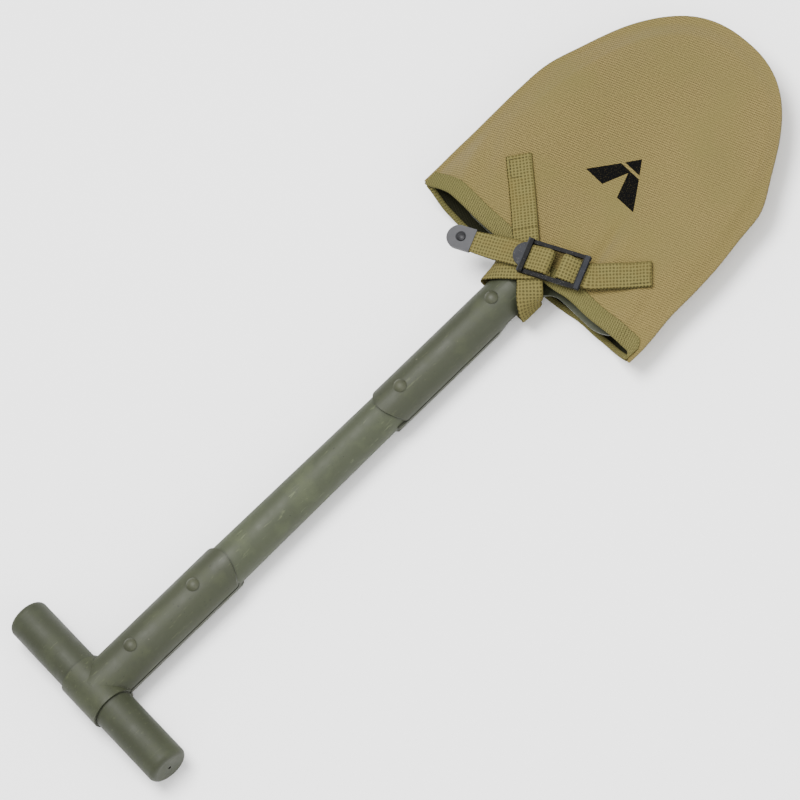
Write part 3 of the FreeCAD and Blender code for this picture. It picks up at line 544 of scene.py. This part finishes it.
# ---------------------------------------------------------------- cover
SEAM_START = 4.6 * MM
SEAM_RISE = 3.4 * MM
SEAM_TIP_RISE = 3.0 * MM
FLANGE = 3.0 * MM
EDGE_OUT = 1.0 * MM
ROLL = 1.1 * MM                              # half the thickness of the turned side seam
ROLL_POWER = 6.0                             # how close to the edge the seam's swelling keeps
ROLL_EASE = 1.5
OFF_GROUND = 0.15 * MM                       # lower limit for the drawn cloth, before its thickness
DRAWN_CLOTH = 0.8 * MM                       # thickness given to the drawn cloth
DRAWN_HEM = 0.45 * MM
HEM = 9.0 * MM
HEM_GROOVE = 1.5 * MM                        # stitched groove, from the inner edge of the hem
BACK_HEM = 5.0 * MM
BACK_HEM_TURNED = 2.2 * MM
LOWEST = 0.1 * MM                            # the same for hems and webbing


def seam_level(x):
    """Height of the side seam, rising toward the tip."""
    s = max(x - SHOULDER, 0.0) / LENGTH
    return AXIS_Z + SEAM_START + SEAM_RISE * s + SEAM_TIP_RISE * s ** 8


def round_share(x):
    """0 where the sides are straight and 1 at the tip."""
    return min(max(x - SHOULDER - STRAIGHT, 0.0) / (LENGTH - STRAIGHT), 1.0)


def plain_half(x):
    """Half width of the outline without its puckers."""
    return HALF * max(1.0 - round_share(x) ** POWER_X, 0.0) ** (1.0 / POWER_Y)


def left_half(x):
    """The left side of the cloth is the fuller one."""
    u = x - SHOULDER
    full = HALF + 1.3 * MM + 2.9 * MM * bell(u - 0.096, 0.024)
    pucker = 0.7 * MM * noise.noise(Vector((u * 38.0, 3.0, 1.0)))
    t = round_share(x)
    return (full + pucker) * max(1.0 - t ** 2.15, 0.0) ** (1.0 / 2.62)


def right_half(x):
    """The right side runs straight to a soft corner and then in to the point."""
    u = x - SHOULDER
    full = HALF - 3.4 * MM + 2.2 * MM * (1.0 - smoothstep(0.006, 0.040, u))
    full += 1.6 * MM * bell(u - 0.100, 0.024)
    t = round_share(x)
    pucker = 0.8 * MM * noise.noise(Vector((u * 34.0, 8.0, 5.0)))
    corner = 4.0 * MM * bell(u - 0.120, 0.015)
    return (full + pucker) * max(1.0 - t * t, 0.0) ** 0.455 + corner


def swell(x, v, power, ease):
    """0 on the middle of the cover and 1 at its side seam; v is the share of the half width."""
    y = abs(v) * plain_half(x)
    q = round_share(x) ** POWER_X + min(y / HALF, 1.0) ** POWER_Y
    q = min(q ** (2.0 / (POWER_X + POWER_Y)) / (1.0 - FLANGE / HALF), 1.0)
    return 1.0 - (1.0 - q ** power) ** ease


def share_across(x, y):
    return min(max(y / max(half_width(x, y), 1e-6), -1.0), 1.0)


def crease(x, y, start, end, width, depth):
    """Soft fold line from start to end, fading at both ends."""
    sx, sy = start
    ex, ey = end
    dx, dy = ex - sx, ey - sy
    size = dx * dx + dy * dy
    k = ((x - sx) * dx + (y - sy) * dy) / size
    off = abs((x - sx) * dy - (y - sy) * dx) / math.sqrt(size)
    fade = smoothstep(-0.3, 0.25, k) * (1.0 - smoothstep(0.7, 1.3, k))
    return depth * fade * bell(off, width)


FRONT_CREASES = (
    # start, end, half width and depth, from the shoulder line
    ((0.024, -0.031), (0.056, -0.023), 0.0032, -1.5 * MM),
    ((0.024, -0.040), (0.058, -0.034), 0.0055, 1.1 * MM),
    ((0.020, 0.060), (0.047, 0.080), 0.0048, -1.0 * MM),
    ((0.008, 0.066), (0.036, 0.084), 0.0045, 0.8 * MM),
    ((0.002, -0.081), (0.036, -0.071), 0.0036, -1.5 * MM),
    ((0.002, -0.074), (0.038, -0.062), 0.0060, 1.0 * MM),
    ((0.010, -0.052), (0.034, -0.084), 0.0050, -0.7 * MM),
    ((0.118, -0.030), (0.150, 0.034), 0.0080, -0.8 * MM),
    ((0.105, -0.060), (0.135, -0.020), 0.0075, -0.6 * MM),
    ((0.084, 0.020), (0.120, 0.064), 0.0080, -0.6 * MM),
    ((0.050, 0.030), (0.062, -0.010), 0.0070, -0.5 * MM),
)


def wrinkles(x, y):
    """Slack of the front cloth: broad waves, small ones and the fold lines."""
    u = x - SHOULDER
    total = 2.4 * MM * noise.noise(Vector((u * 15.0, y * 18.0, 0.3)))
    total += 0.9 * MM * noise.noise(Vector((u * 42.0, y * 36.0, 4.1)))
    total += 0.12 * MM * noise.noise(Vector((u * 150.0, y * 140.0, 7.1)))
    for start, end, width, depth in FRONT_CREASES:
        total += 1.35 * crease(u, y, start, end, width, depth)
    return total


def mouth_front(v):
    """Front edge of the mouth, from the shoulder line."""
    edge = 0.8 * MM
    edge -= 5.5 * MM * smoothstep(0.74, 0.99, v)
    edge += 5.0 * MM * smoothstep(0.28, 0.93, -v)
    edge += 2.2 * MM * bell(v + 0.42, 0.14)
    edge -= 6.0 * MM * smoothstep(0.94, 1.0, -v)
    return edge + 0.6 * MM * noise.noise(Vector((v * 5.0, 2.0, 0.0)))


def mouth_back(v):
    """Back edge of the mouth, from the shoulder line."""
    edge = -2.2 * MM - 4.6 * MM * smoothstep(0.05, 0.55, v)
    edge += 3.4 * MM * smoothstep(0.1, 0.5, -v)
    edge += 2.0 * MM * smoothstep(0.8, 1.0, v)
    return edge + 0.5 * MM * noise.noise(Vector((v * 5.0, 7.0, 0.0)))


def mouth_lift(x, v):
    """The mouth gapes on both sides of the neck."""
    u = x - SHOULDER
    near = bell(max(u - 0.002, 0.0), 0.020)
    return near * (2.2 * MM * bell(v + 0.44, 0.16) + 1.6 * MM * bell(v - 0.62, 0.20))


BLADE_HALF = 76.0 * MM
BLADE_LENGTH = 175.0 * MM
RIM = 3.8 * MM
RIM_RISE = 8.0 * MM


def over_blade(x, y):
    """Lowest level the cloth can have above the blade, falling away past its edge."""
    s = (x - SHOULDER) / LENGTH
    t = max(x - SHOULDER - STRAIGHT, 0.0) / (BLADE_LENGTH - STRAIGHT)
    edge = (t ** POWER_X + (abs(y) / BLADE_HALF) ** POWER_Y) ** (2.0 / (POWER_X + POWER_Y))
    rim = AXIS_Z + RIM + RIM_RISE * s + 1.9 * MM
    past = max(edge - 1.0, 0.0) * BLADE_HALF
    return rim - 1.4 * past * past / (past + 4.0 * MM)


def higher(a, b, soft):
    """Larger of two levels with a soft change from one to the other."""
    k = min(max(0.5 + 0.5 * (a - b) / soft, 0.0), 1.0)
    return b + (a - b) * k + soft * k * (1.0 - k)


def front_level(x, v):
    """Height of the outside of the front cloth."""
    crown = CROWN - 1.2 * MM + 1.8 * MM * smoothstep(0.4, 1.0, (x - SHOULDER) / LENGTH)
    k = swell(x, v, 8.0, 1.3)
    y = v * half_width(x, v)
    u = x - SHOULDER
    slack = wrinkles(x, y) * (1.0 - k ** 3)
    sink = 2.2 * MM * bell(u - 0.092, 0.050) * bell(y + 0.004, 0.045)
    neck = 1.2 * MM * bell(y, 0.020) * bell(u, 0.03)
    level = crown + neck - sink - (crown - seam_level(x)) * k + slack + mouth_lift(x, v)
    return higher(level, over_blade(x, y), 3.0 * MM)


def back_level(x, v):
    """Height of the outside of the back cloth."""
    low = 0.3 * MM
    k = swell(x, v, ROLL_POWER, ROLL_EASE)
    uneven = abs(noise.noise(Vector((x * 30.0, v * half_width(x, v) * 26.0, 9.0))))
    ripple = 0.9 * MM * uneven * (0.25 + k) * (1.0 - k ** 2)
    return low + (seam_level(x) - 0.4 * MM - low) * k + ripple


def front_place(x, y):
    """Point on the outside of the front cloth."""
    return Vector((x, y, front_level(x, share_across(x, y))))


def spread(share):
    """Columns stand closer together near the side seams."""
    return math.sin(share * math.pi / 2.0) * 0.35 + share * 0.65


def cover_ring(x_front, x_back, across_front, across_back):
    """Closed row of points: over the front, round one seam and back under the other."""
    ring = []
    for part, count, x_at in (("front", across_front, x_front), ("back", across_back, x_back)):
        for j in range(count):
            v = spread(-1.0 + 2.0 * j / (count - 1))
            if part == "back":
                v = -v
            x = x_at(v)
            y = v * max(half_width(x, v) - EDGE_OUT, 0.0)
            flat = swell(x, v, ROLL_POWER, ROLL_EASE)
            if part == "front":
                z = front_level(x, v) + ROLL * flat
            else:
                z = max(back_level(x, v) - ROLL * flat, OFF_GROUND)
            ring.append((x, y, z, v, part))
    out = []
    for i, (x, y, z, v, part) in enumerate(ring):
        out.append((x, y, z))
        following = ring[(i + 1) % len(ring)]
        if following[4] != part:
            sign = 1.0 if v > 0 else -1.0
            out.append(((x + following[0]) / 2.0, y + sign * EDGE_OUT, (z + following[2]) / 2.0))
    return out


def make_cover(name, body):
    """One sock of cloth: front, rolled side seam and back, open at the mouth."""
    across_front = 121
    across_back = 73
    straight_rows = 30
    round_rows = 90
    vertices = []
    uvs = []
    rings = []
    for i in range(straight_rows):
        k = (i / straight_rows) ** 1.2
        rings.append(cover_ring(
            lambda v, k=k: SHOULDER + mouth_front(v) * (1.0 - k) + STRAIGHT * k,
            lambda v, k=k: SHOULDER + mouth_back(v) * (1.0 - k) + STRAIGHT * k,
            across_front, across_back))
    reach = LENGTH - STRAIGHT
    for i in range(round_rows + 1):
        a = i / round_rows * math.pi / 2.0
        x = SHOULDER + STRAIGHT + reach * math.sin(a) ** (2.0 / POWER_X)
        rings.append(cover_ring(lambda v, x=x: x, lambda v, x=x: x, across_front, across_back))
    size = len(rings[0])
    for ring in rings:
        runs = [0.0]
        for a, b in zip(ring, ring[1:]):
            runs.append(runs[-1] + math.dist(a, b))
        middle = runs[across_front // 2]
        for point, run in zip(ring, runs):
            vertices.append(point)
            uvs.append((point[0] - SHOULDER + MOUTH_REACH, run - middle))
    faces = []
    for r in range(len(rings) - 1):
        for i in range(size):
            a = r * size + i
            b = r * size + (i + 1) % size
            faces.append((a, a + size, b + size, b))
    obj = new_mesh(name, vertices, faces, body, canvas, uvs)
    carry_on_seam(obj)
    # the inside faces get the dark canvas through the solidify's material offset: painted shade
    obj.data.materials.append(canvas_inside_painted_shade)
    weld = obj.modifiers.new("weld", "WELD")
    weld.merge_threshold = 0.03 * MM
    thick = obj.modifiers.new("thick", "SOLIDIFY")
    thick.thickness = DRAWN_CLOTH
    thick.offset = -1.0
    thick.material_offset = 1
    thick.material_offset_rim = 0
    smooth = obj.modifiers.new("smooth", "SUBSURF")
    smooth.levels = 1
    smooth.render_levels = 1
    return obj


def carry_on_seam(obj):
    """The ring closes on itself, so its last faces carry on the run of the cloth."""
    layer = obj.data.uv_layers["cloth"].data
    for polygon in obj.data.polygons:
        values = [layer[i].uv[1] for i in polygon.loop_indices]
        top = max(values)
        if top - min(values) > HALF:
            for i in polygon.loop_indices:
                if layer[i].uv[1] < top - HALF:
                    layer[i].uv[1] = top + 2.0 * MM


cover = make_cover("cover_canvas", "cover")
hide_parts("cover_front_panel", "cover_back_panel")


# ---------------------------------------------------------------- hems
def make_hem(name, edge_at, level, outward, limits, width, turned):
    """Folded band over the mouth edge; outward is +1 on the front and -1 on the back.

    The band lies width over the outside and turned over the inside."""
    groove = width - HEM_GROOVE
    profile = ((width, 0.05), (width - 0.25 * MM, 0.70), (groove + 0.5 * MM, 0.80),
               (groove, 0.45), (groove - 0.5 * MM, 0.82), (width * 0.5, 0.98), (0.6 * MM, 0.92),
               (-0.7 * MM, 0.45), (-1.1 * MM, -0.50), (-0.6 * MM, -1.55), (0.8 * MM, -1.95),
               (turned * 0.6, -1.9), (turned, -1.5))
    columns = 150
    vertices = []
    uvs = []
    for j in range(columns + 1):
        v = limits[0] + (limits[1] - limits[0]) * j / columns
        edge = SHOULDER + edge_at(v)
        run = 0.0
        previous = None
        for along, lift in profile:
            x = edge + along
            half = half_width(x, v) - EDGE_OUT
            sag = 0.12 * MM * noise.noise(Vector((v * 60.0, along * 300.0, 1.0)))
            z = level(max(x, edge), v) + outward * lift * MM + sag
            point = (x, v * half, max(z, LOWEST))
            if previous is not None:
                run += math.dist(point, previous)
            previous = point
            vertices.append(point)
            uvs.append((point[1], run))
    count = len(profile)
    faces = []
    for j in range(columns):
        for i in range(count - 1):
            a = j * count + i
            faces.append((a, a + 1, a + count + 1, a + count))
    if outward < 0:
        faces = [tuple(reversed(face)) for face in faces]
    obj = new_mesh(name, vertices, faces, "cover", hem_cloth, uvs)
    thick = obj.modifiers.new("thick", "SOLIDIFY")
    thick.thickness = DRAWN_HEM
    thick.offset = -1.0
    smooth = obj.modifiers.new("smooth", "SUBSURF")
    smooth.levels = 1
    smooth.render_levels = 1
    return obj


def front_under_roll(x, v):
    return front_level(x, v) + ROLL * swell(x, v, ROLL_POWER, ROLL_EASE)


def back_under_roll(x, v):
    return back_level(x, v) - ROLL * swell(x, v, ROLL_POWER, ROLL_EASE)


front_hem = make_hem("front_hem", mouth_front, front_under_roll, 1.0, (-0.985, 0.985),
                     HEM, HEM - 0.6 * MM)
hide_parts("front_mouth_hem")
back_hem = make_hem("back_hem", mouth_back, back_under_roll, -1.0, (-0.97, 0.97),
                    BACK_HEM, BACK_HEM_TURNED)
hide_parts("back_mouth_hem")


# ---------------------------------------------------------------- stitching
STITCH_FLAT = 0.7                            # height of a stitch over its width
STITCH = 1.5 * MM                            # length of one stitch
STITCH_PITCH = 2.3 * MM


def stitch_mesh(name, rows, radius):
    """Short thread capsules; each row is a point, a direction, a normal and a length."""
    vertices = []
    faces = []
    sides = 6
    shape = ((-0.5, 0.25), (-0.36, 0.85), (0.0, 1.0), (0.36, 0.85), (0.5, 0.25))
    for point, direction, normal, length in rows:
        side = direction.cross(normal).normalized()
        base = len(vertices)
        for along, fat in shape:
            for i in range(sides):
                angle = 2.0 * math.pi * i / sides
                offset = side * math.cos(angle) + normal * (math.sin(angle) * STITCH_FLAT)
                vertices.append(point + direction * (along * length) + offset * (radius * fat))
        for ring in range(len(shape) - 1):
            for i in range(sides):
                a = base + ring * sides + i
                b = base + ring * sides + (i + 1) % sides
                faces.append((a, b, b + sides, a + sides))
        faces.append(tuple(base + i for i in reversed(range(sides))))
        last = base + (len(shape) - 1) * sides
        faces.append(tuple(last + i for i in range(sides)))
    return new_mesh(name, vertices, faces, "cover", thread)


def stitch_line(place, points, pitch, length):
    """Stitches laid along a broken line; place gives the point on the cloth."""
    rows = []
    up = Vector((0, 0, 1))
    for (ax, ay), (bx, by) in zip(points, points[1:]):
        span = math.hypot(bx - ax, by - ay)
        count = max(int(round(span / pitch)), 1)
        for i in range(count):
            k = (i + 0.5) / count
            x = ax + (bx - ax) * k
            y = ay + (by - ay) * k
            step = 0.4 * length / span
            here = place(x, y)
            after = place(x + (bx - ax) * step, y + (by - ay) * step)
            direction = (after - here).normalized()
            normal = (up - direction * up.dot(direction)).normalized()
            rows.append((here + normal * (0.12 * MM), direction, normal, length))
    return rows


def hem_stitches():
    """One row of stitches in the groove of the front hem."""
    rows = []
    up = Vector((0, 0, 1))
    count = 76
    inset = HEM - HEM_GROOVE
    for i in range(count):
        v = -0.955 + 1.91 * (i + 0.5) / count
        places = []
        for dv in (0.0, 0.004):
            x = SHOULDER + mouth_front(v + dv) + inset
            half = half_width(x, v) - EDGE_OUT
            z = front_under_roll(x, v + dv) + 0.60 * MM
            places.append(Vector((x, (v + dv) * half, z)))
        direction = (places[1] - places[0]).normalized()
        normal = (up - direction * up.dot(direction)).normalized()
        rows.append((places[0], direction, normal, STITCH))
    return rows


stitch_mesh("hem_stitches", hem_stitches(), 0.24 * MM)


# ---------------------------------------------------------------- webbing
def smooth_path(keys, count):
    """Even stations on a smooth curve through (centre, across) keys."""
    centres = [Vector(key[0]) for key in keys]
    sides = [Vector(key[1]).normalized() for key in keys]
    marks = [0.0]
    for a, b in zip(centres, centres[1:]):
        marks.append(marks[-1] + (b - a).length)
    slopes = []
    last = len(centres) - 1
    for i in range(last + 1):
        lo = max(i - 1, 0)
        hi = min(i + 1, last)
        slopes.append((centres[hi] - centres[lo]) / (marks[hi] - marks[lo]))
    stations = []
    for i in range(count):
        mark = marks[-1] * i / (count - 1)
        n = 0
        while n < last - 1 and mark > marks[n + 1]:
            n += 1
        span = marks[n + 1] - marks[n]
        k = min((mark - marks[n]) / span, 1.0)
        k2 = k * k
        k3 = k2 * k
        centre = (centres[n] * (2 * k3 - 3 * k2 + 1) + slopes[n] * (span * (k3 - 2 * k2 + k))
                  + centres[n + 1] * (3 * k2 - 2 * k3) + slopes[n + 1] * (span * (k3 - k2)))
        side = sides[n] * (1.0 - k) + sides[n + 1] * k
        stations.append((centre, side.normalized()))
    return stations


def ribbon(name, stations, body, width=WEB_WIDTH, thick=WEB, phase=0.0):
    """Webbing with soft selvedges through (centre, across) stations."""
    profile = []
    steps = 12
    for i in range(steps + 1):
        s = -1.0 + 2.0 * i / steps
        s = math.sin(s * math.pi / 2.0) * 0.25 + s * 0.75
        fat = (1.0 - abs(s) ** 7) ** 0.5
        profile.append((s, fat))
    loop = [(s, 0.5 * fat) for s, fat in profile]
    loop += [(s, -0.5 * fat) for s, fat in reversed(profile[1:-1])]
    vertices = []
    uvs = []
    run = 0.0
    count = len(stations)
    for i, (centre, across) in enumerate(stations):
        before = stations[max(i - 1, 0)][0]
        after = stations[min(i + 1, count - 1)][0]
        along = (after - before).normalized()
        side = (across - along * across.dot(along)).normalized()
        normal = along.cross(side).normalized()
        if i:
            run += (centre - stations[i - 1][0]).length
        wave = 0.12 * MM * noise.noise(Vector((run * 90.0, phase * 3.0, 2.0)))
        wide = width(centre) if callable(width) else width
        for s, fat in loop:
            edge = 0.12 * MM * noise.noise(Vector((run * 380.0, s * 2.0 + phase, 5.0)))
            point = centre + side * (s * (wide / 2.0 + edge)) + normal * (fat * thick + wave)
            point.z = max(point.z, LOWEST)
            vertices.append(point)
            uvs.append((run + phase * 0.1, s * wide / 2.0))
    size = len(loop)
    faces = []
    for i in range(count - 1):
        for j in range(size):
            a = i * size + j
            b = i * size + (j + 1) % size
            faces.append((a, a + size, b + size, b))
    faces.append(tuple(range(size)))
    faces.append(tuple(reversed(range((count - 1) * size, count * size))))
    return new_mesh(name, vertices, faces, body, webbing, uvs)


FRAME_AT = 19.1                              # underside of the buckle, mm above the shaft axis
FRAME_MID = FRAME_AT + 1.2
FLEX_AT = 23.0
STRAP_FLEX_AT = 27.2
NARROW_FROM = -38.2 * MM                     # along the buckle's axis
NARROW_TO = -58.4 * MM
NARROW_WIDTH = 13.2 * MM
LOCK_BAR = -5.0
CHAPE_BAR = 6.0


def at_buckle(along, up, across=0.0):
    """Millimetres in the frame of the buckle; up is above the shaft axis."""
    place = Vector((BUCKLE_X, BUCKLE_Y, AXIS_Z + up * MM))
    return place + ALONG * (along * MM) + ACROSS * (across * MM)


def above_shoulder(x, y, up):
    """Millimetres from the shoulder line and above the shaft axis."""
    return Vector((SHOULDER + x * MM, y * MM, AXIS_Z + up * MM))


ANCHOR_START = (44.0, 53.9)
ANCHOR_END = (15.0, 16.2)
TOP = 12.7 + 1.3 + 0.9 + 0.1 + 0.65          # inside height, cloth, hem, gap, half the webbing


def lay_on_front(x_mm, y_mm, lift_mm):
    """Point lifted off the front cloth, in millimetres from the shoulder line."""
    place = front_place(SHOULDER + x_mm * MM, y_mm * MM)
    return place + Vector((0, 0, lift_mm * MM))


def anchor_keys():
    """From the sewn end on the front to where the neck strap takes over."""
    dx = ANCHOR_END[0] - ANCHOR_START[0]
    dy = ANCHOR_END[1] - ANCHOR_START[1]
    across = Vector((-dy, dx, 0.0)).normalized()
    keys = []
    for k, lift in ((-0.02, 0.75), (0.2, 0.85), (0.4, 0.85), (0.6, 1.0), (0.8, 1.3)):
        keys.append((lay_on_front(ANCHOR_START[0] + dx * k, ANCHOR_START[1] + dy * k, lift), across))
    keys.append((above_shoulder(ANCHOR_END[0], ANCHOR_END[1], TOP + 0.05), across))
    return keys, across


anchor_stations, anchor_across = anchor_keys()
anchor = ribbon("anchor_webbing", smooth_path(anchor_stations, 40), "cover", phase=0.3)
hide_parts("strap_anchor")


def neck_keys():
    """From the anchor, under the neck of the shovel and up to the buckle."""
    side = Vector((1, 0, 0))
    out = 19.3
    rise = Vector((0.69, 0.72, 0))
    rows = [
        (ANCHOR_END[0], ANCHOR_END[1], TOP + 0.05, anchor_across),
        (8.6, 7.9, TOP + 0.3, anchor_across),
        (2.0, -0.6, TOP + 0.5, anchor_across),
        (-4.5, -9.0, TOP + 0.4, anchor_across),
        (-9.0, -14.0, TOP + 0.0, Vector((0.85, -0.5, 0))),
        (-13.6, -17.8, 12.0, Vector((0.95, -0.3, 0))),
        (-16.5, -out, 6.0, Vector((1, -0.1, 0))),
        (-17.0, -out, -1.0, side),
        (-15.8, -13.5, -9.8, side),
        (-15.5, 0.0, -12.7, side),
        (-15.8, 13.0, -9.8, side),
        (-17.0, out - 1.5, -1.0, side),
        (-16.5, out - 2.5, 6.5, Vector((1, 0.1, 0))),
        (-12.0, 10.5, 14.4, Vector((0.8, 0.5, 0))),
        (-5.5, 1.5, 17.4, rise),
        (1.0, -6.0, 17.9, rise),
    ]
    keys = [(above_shoulder(x, y, up), across) for x, y, up, across in rows]
    keys.append((at_buckle(-4.0, 17.7), ACROSS))
    return keys


neck = ribbon("neck_webbing", smooth_path(neck_keys(), 110), "cover", phase=0.7)
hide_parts("neck_strap")
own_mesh(neck)


def fold_keys():
    """Up through the buckle, over its locking bar and out to the metal tip."""
    turn = 2.05
    rows = [
        (LOCK_BAR + turn + 0.5, FRAME_MID - 2.2),
        (LOCK_BAR + turn + 0.4, FRAME_MID - 0.6),
        (LOCK_BAR + turn * 0.8, FRAME_MID + turn * 0.6),
        (LOCK_BAR, FRAME_MID + turn),
        (LOCK_BAR - 3.6, FRAME_MID + turn * 0.86),
        (LOCK_BAR - 8.0, FRAME_MID + 0.9),
        (LOCK_BAR - 13.0, FRAME_MID + 0.55),
        (-21.0, FRAME_MID + 0.4),
        (-STRAP_FLEX_AT, FRAME_MID + 0.2),
        (-37.0, FRAME_MID - 1.5),
        (-49.0, FRAME_MID - 3.2),
        (-58.2, FRAME_MID - 3.5),
    ]
    return [(at_buckle(a, up), ACROSS) for a, up in rows]


def free_width(centre):
    """The free end narrows from NARROW_FROM to the metal tip."""
    along = (centre - at_buckle(0.0, 0.0)).dot(ALONG)
    share = min(max((NARROW_FROM - along) / (NARROW_FROM - NARROW_TO), 0.0), 1.0)
    return WEB_WIDTH + (NARROW_WIDTH - WEB_WIDTH) * share


free_end = ribbon("free_end_webbing", smooth_path(fold_keys(), 100), None, free_width, phase=1.1)
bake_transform(free_end)
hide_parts("strap_fold", "strap_end")

CHAPE_END = (46.9, -61.5)


def chape_keys():
    """Two layers: along the cloth, round the bar of the buckle and back underneath."""
    under = FRAME_AT - 0.75
    second = under - 1.5
    turn = 2.0
    start = at_buckle(FLEX_AT, 0.0)
    end = above_shoulder(CHAPE_END[0], CHAPE_END[1], 0.0)
    away = Vector((end.x - start.x, end.y - start.y, 0.0))
    across_far = Vector((-away.y, away.x, 0.0)).normalized()
    upper = []
    lower = []
    for k in (1.0, 0.84, 0.68, 0.52, 0.34):
        x = start.x + away.x * k
        y = start.y + away.y * k
        across = (ACROSS * (1.0 - k) + across_far * k).normalized()
        base = front_place(x, y).z
        ease = max(0.0, (0.75 - k) / 0.6)
        top = base + 2.25 * MM
        top += (AXIS_Z + under * MM - top) * ease * 0.7
        upper.append((Vector((x, y, top)), across))
        lower.append((Vector((x, y, top - 1.4 * MM)), across))
    loop = []
    for a, up in ((FLEX_AT, under), (FLEX_AT - 5.0, under), (CHAPE_BAR + 8.5, under + 0.5),
                  (CHAPE_BAR + 5.0, under + 2.1)):
        loop.append((at_buckle(a, up), ACROSS))
    for degrees in (60, 90, 125, 160, 195, 230):
        angle = math.radians(degrees)
        loop.append((at_buckle(CHAPE_BAR + turn * math.cos(angle),
                               FRAME_MID + turn * math.sin(angle)), ACROSS))
    for a, up in ((CHAPE_BAR + 3.4, second + 0.3), (CHAPE_BAR + 8.5, second),
                  (FLEX_AT - 4.0, second), (FLEX_AT, second)):
        loop.append((at_buckle(a, up), ACROSS))
    return upper + loop + lower[::-1]


chape = ribbon("chape_webbing", smooth_path(chape_keys(), 150), None, phase=1.9, thick=1.35 * MM)
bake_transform(chape)
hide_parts("buckle_chape", "chape_loop")


# ---------------------------------------------------------------- hook tab on the back
def tab_keys():
    """Along the back, round the bar of the hook and back."""
    tab_lo, tab_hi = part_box("hook_tab")
    hook_lo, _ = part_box("belt_hook")
    bar = Vector((hook_lo.x + 1.3 * MM, 0.0, tab_lo.z + 3.0 * MM))
    turn = 2.35 * MM
    side = Vector((0, 1, 0))
    top = tab_hi.z - 0.9 * MM
    keys = [(Vector((tab_lo.x, 0, top - 0.1 * MM)), side),
            (Vector((tab_lo.x + 8 * MM, 0, top)), side),
            (Vector((bar.x - 6 * MM, 0, bar.z + turn + 0.1 * MM)), side)]
    for degrees in (110, 75, 40, 5, -30, -65, -100):
        angle = math.radians(degrees)
        keys.append((bar + Vector((turn * math.cos(angle), 0, turn * math.sin(angle))), side))
    keys.append((Vector((bar.x - 6 * MM, 0, bar.z - turn + 0.5 * MM)), side))
    keys.append((Vector((tab_lo.x + 6 * MM, 0, max(top - 1.7 * MM, 0.9 * MM))), side))
    return keys


tab = ribbon("hook_tab_webbing", smooth_path(tab_keys(), 70), "cover", width=30.0 * MM,
             thick=1.25 * MM, phase=2.4)
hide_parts("hook_tab")


# ---------------------------------------------------------------- sewing of the straps
def box_stitches(centre, direction, length, width, lift):
    """Sewn rectangle on webbing that lies on the front."""
    d = Vector((direction.x, direction.y, 0.0)).normalized()
    n = Vector((-d.y, d.x, 0.0))
    corners = []
    for a, b in ((-0.5, -0.5), (0.5, -0.5), (0.5, 0.5), (-0.5, 0.5), (-0.5, -0.5)):
        place = centre + d * (a * length) + n * (b * width)
        corners.append((place.x, place.y))

    def place(x, y):
        return front_place(x, y) + Vector((0, 0, lift))

    return stitch_line(place, corners, STITCH_PITCH, STITCH)


SEWN_LENGTH = 12.0 * MM
SEWN_WIDTH = 11.5 * MM
sewing = box_stitches(above_shoulder(39.5, 48.0, 0), Vector((29.0, 37.7, 0)),
                      SEWN_LENGTH, SEWN_WIDTH, 1.42 * MM)
sewing += box_stitches(above_shoulder(41.9, -56.9, 0), Vector((26.5, -24.4, 0)),
                       SEWN_LENGTH, SEWN_WIDTH, 2.95 * MM)
stitch_mesh("strap_sewing", sewing, 0.26 * MM)


# ---------------------------------------------------------------- softer edges on the metal
for node_name, width in (("buckle_frame", 0.45 * MM), ("strap_tip", 0.25 * MM)):
    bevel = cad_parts[node_name].modifiers.new("worn_edges", "BEVEL")
    bevel.width = width
    bevel.segments = 3
    bevel.limit_method = "ANGLE"
    bevel.angle_limit = math.radians(40.0)


# ---------------------------------------------------------------- floor and light
FLOOR_HALF = 3.0
FLOOR_GAP = 0.2 * MM


def make_stage():
    """Pale floor and three soft lights, for the picture only."""
    mesh = bpy.data.meshes.new("floor")
    half = FLOOR_HALF
    mesh.from_pydata([(-half, -half, 0), (half, -half, 0), (half, half, 0), (-half, half, 0)],
                     [], [(0, 1, 2, 3)])
    floor = bpy.data.objects.new("floor", mesh)
    bpy.context.scene.collection.objects.link(floor)
    floor.location.z = cad_box[0].z - FLOOR_GAP
    tree = Tree("floor_white")
    tree.set("Base Color", grey(0.95))
    tree.set("Roughness", 0.9)
    mesh.materials.append(tree.material)
    for label, offset, width, power in (
        ("key", view_up * 1.1 - view_right * 0.9 + view_toward * 1.9, 1.3, 112.0),
        ("fill", view_right * 1.3 - view_up * 0.5 + view_toward * 1.8, 1.8, 26.0),
        ("top", view_toward * 2.6 + view_up * 0.2, 2.2, 26.0),
    ):
        data = bpy.data.lights.new(label, "AREA")
        data.shape = "DISK"
        data.size = width
        data.energy = power
        light = bpy.data.objects.new(label, data)
        bpy.context.scene.collection.objects.link(light)
        light.location = TARGET + offset
        light.rotation_euler = offset.to_track_quat("Z", "Y").to_euler()
    world = bpy.data.worlds.new("studio")
    world.use_nodes = True
    background = world.node_tree.nodes["Background"]
    background.inputs["Color"].default_value = grey(1.0)
    background.inputs["Strength"].default_value = 1.05
    bpy.context.scene.world = world


make_stage()
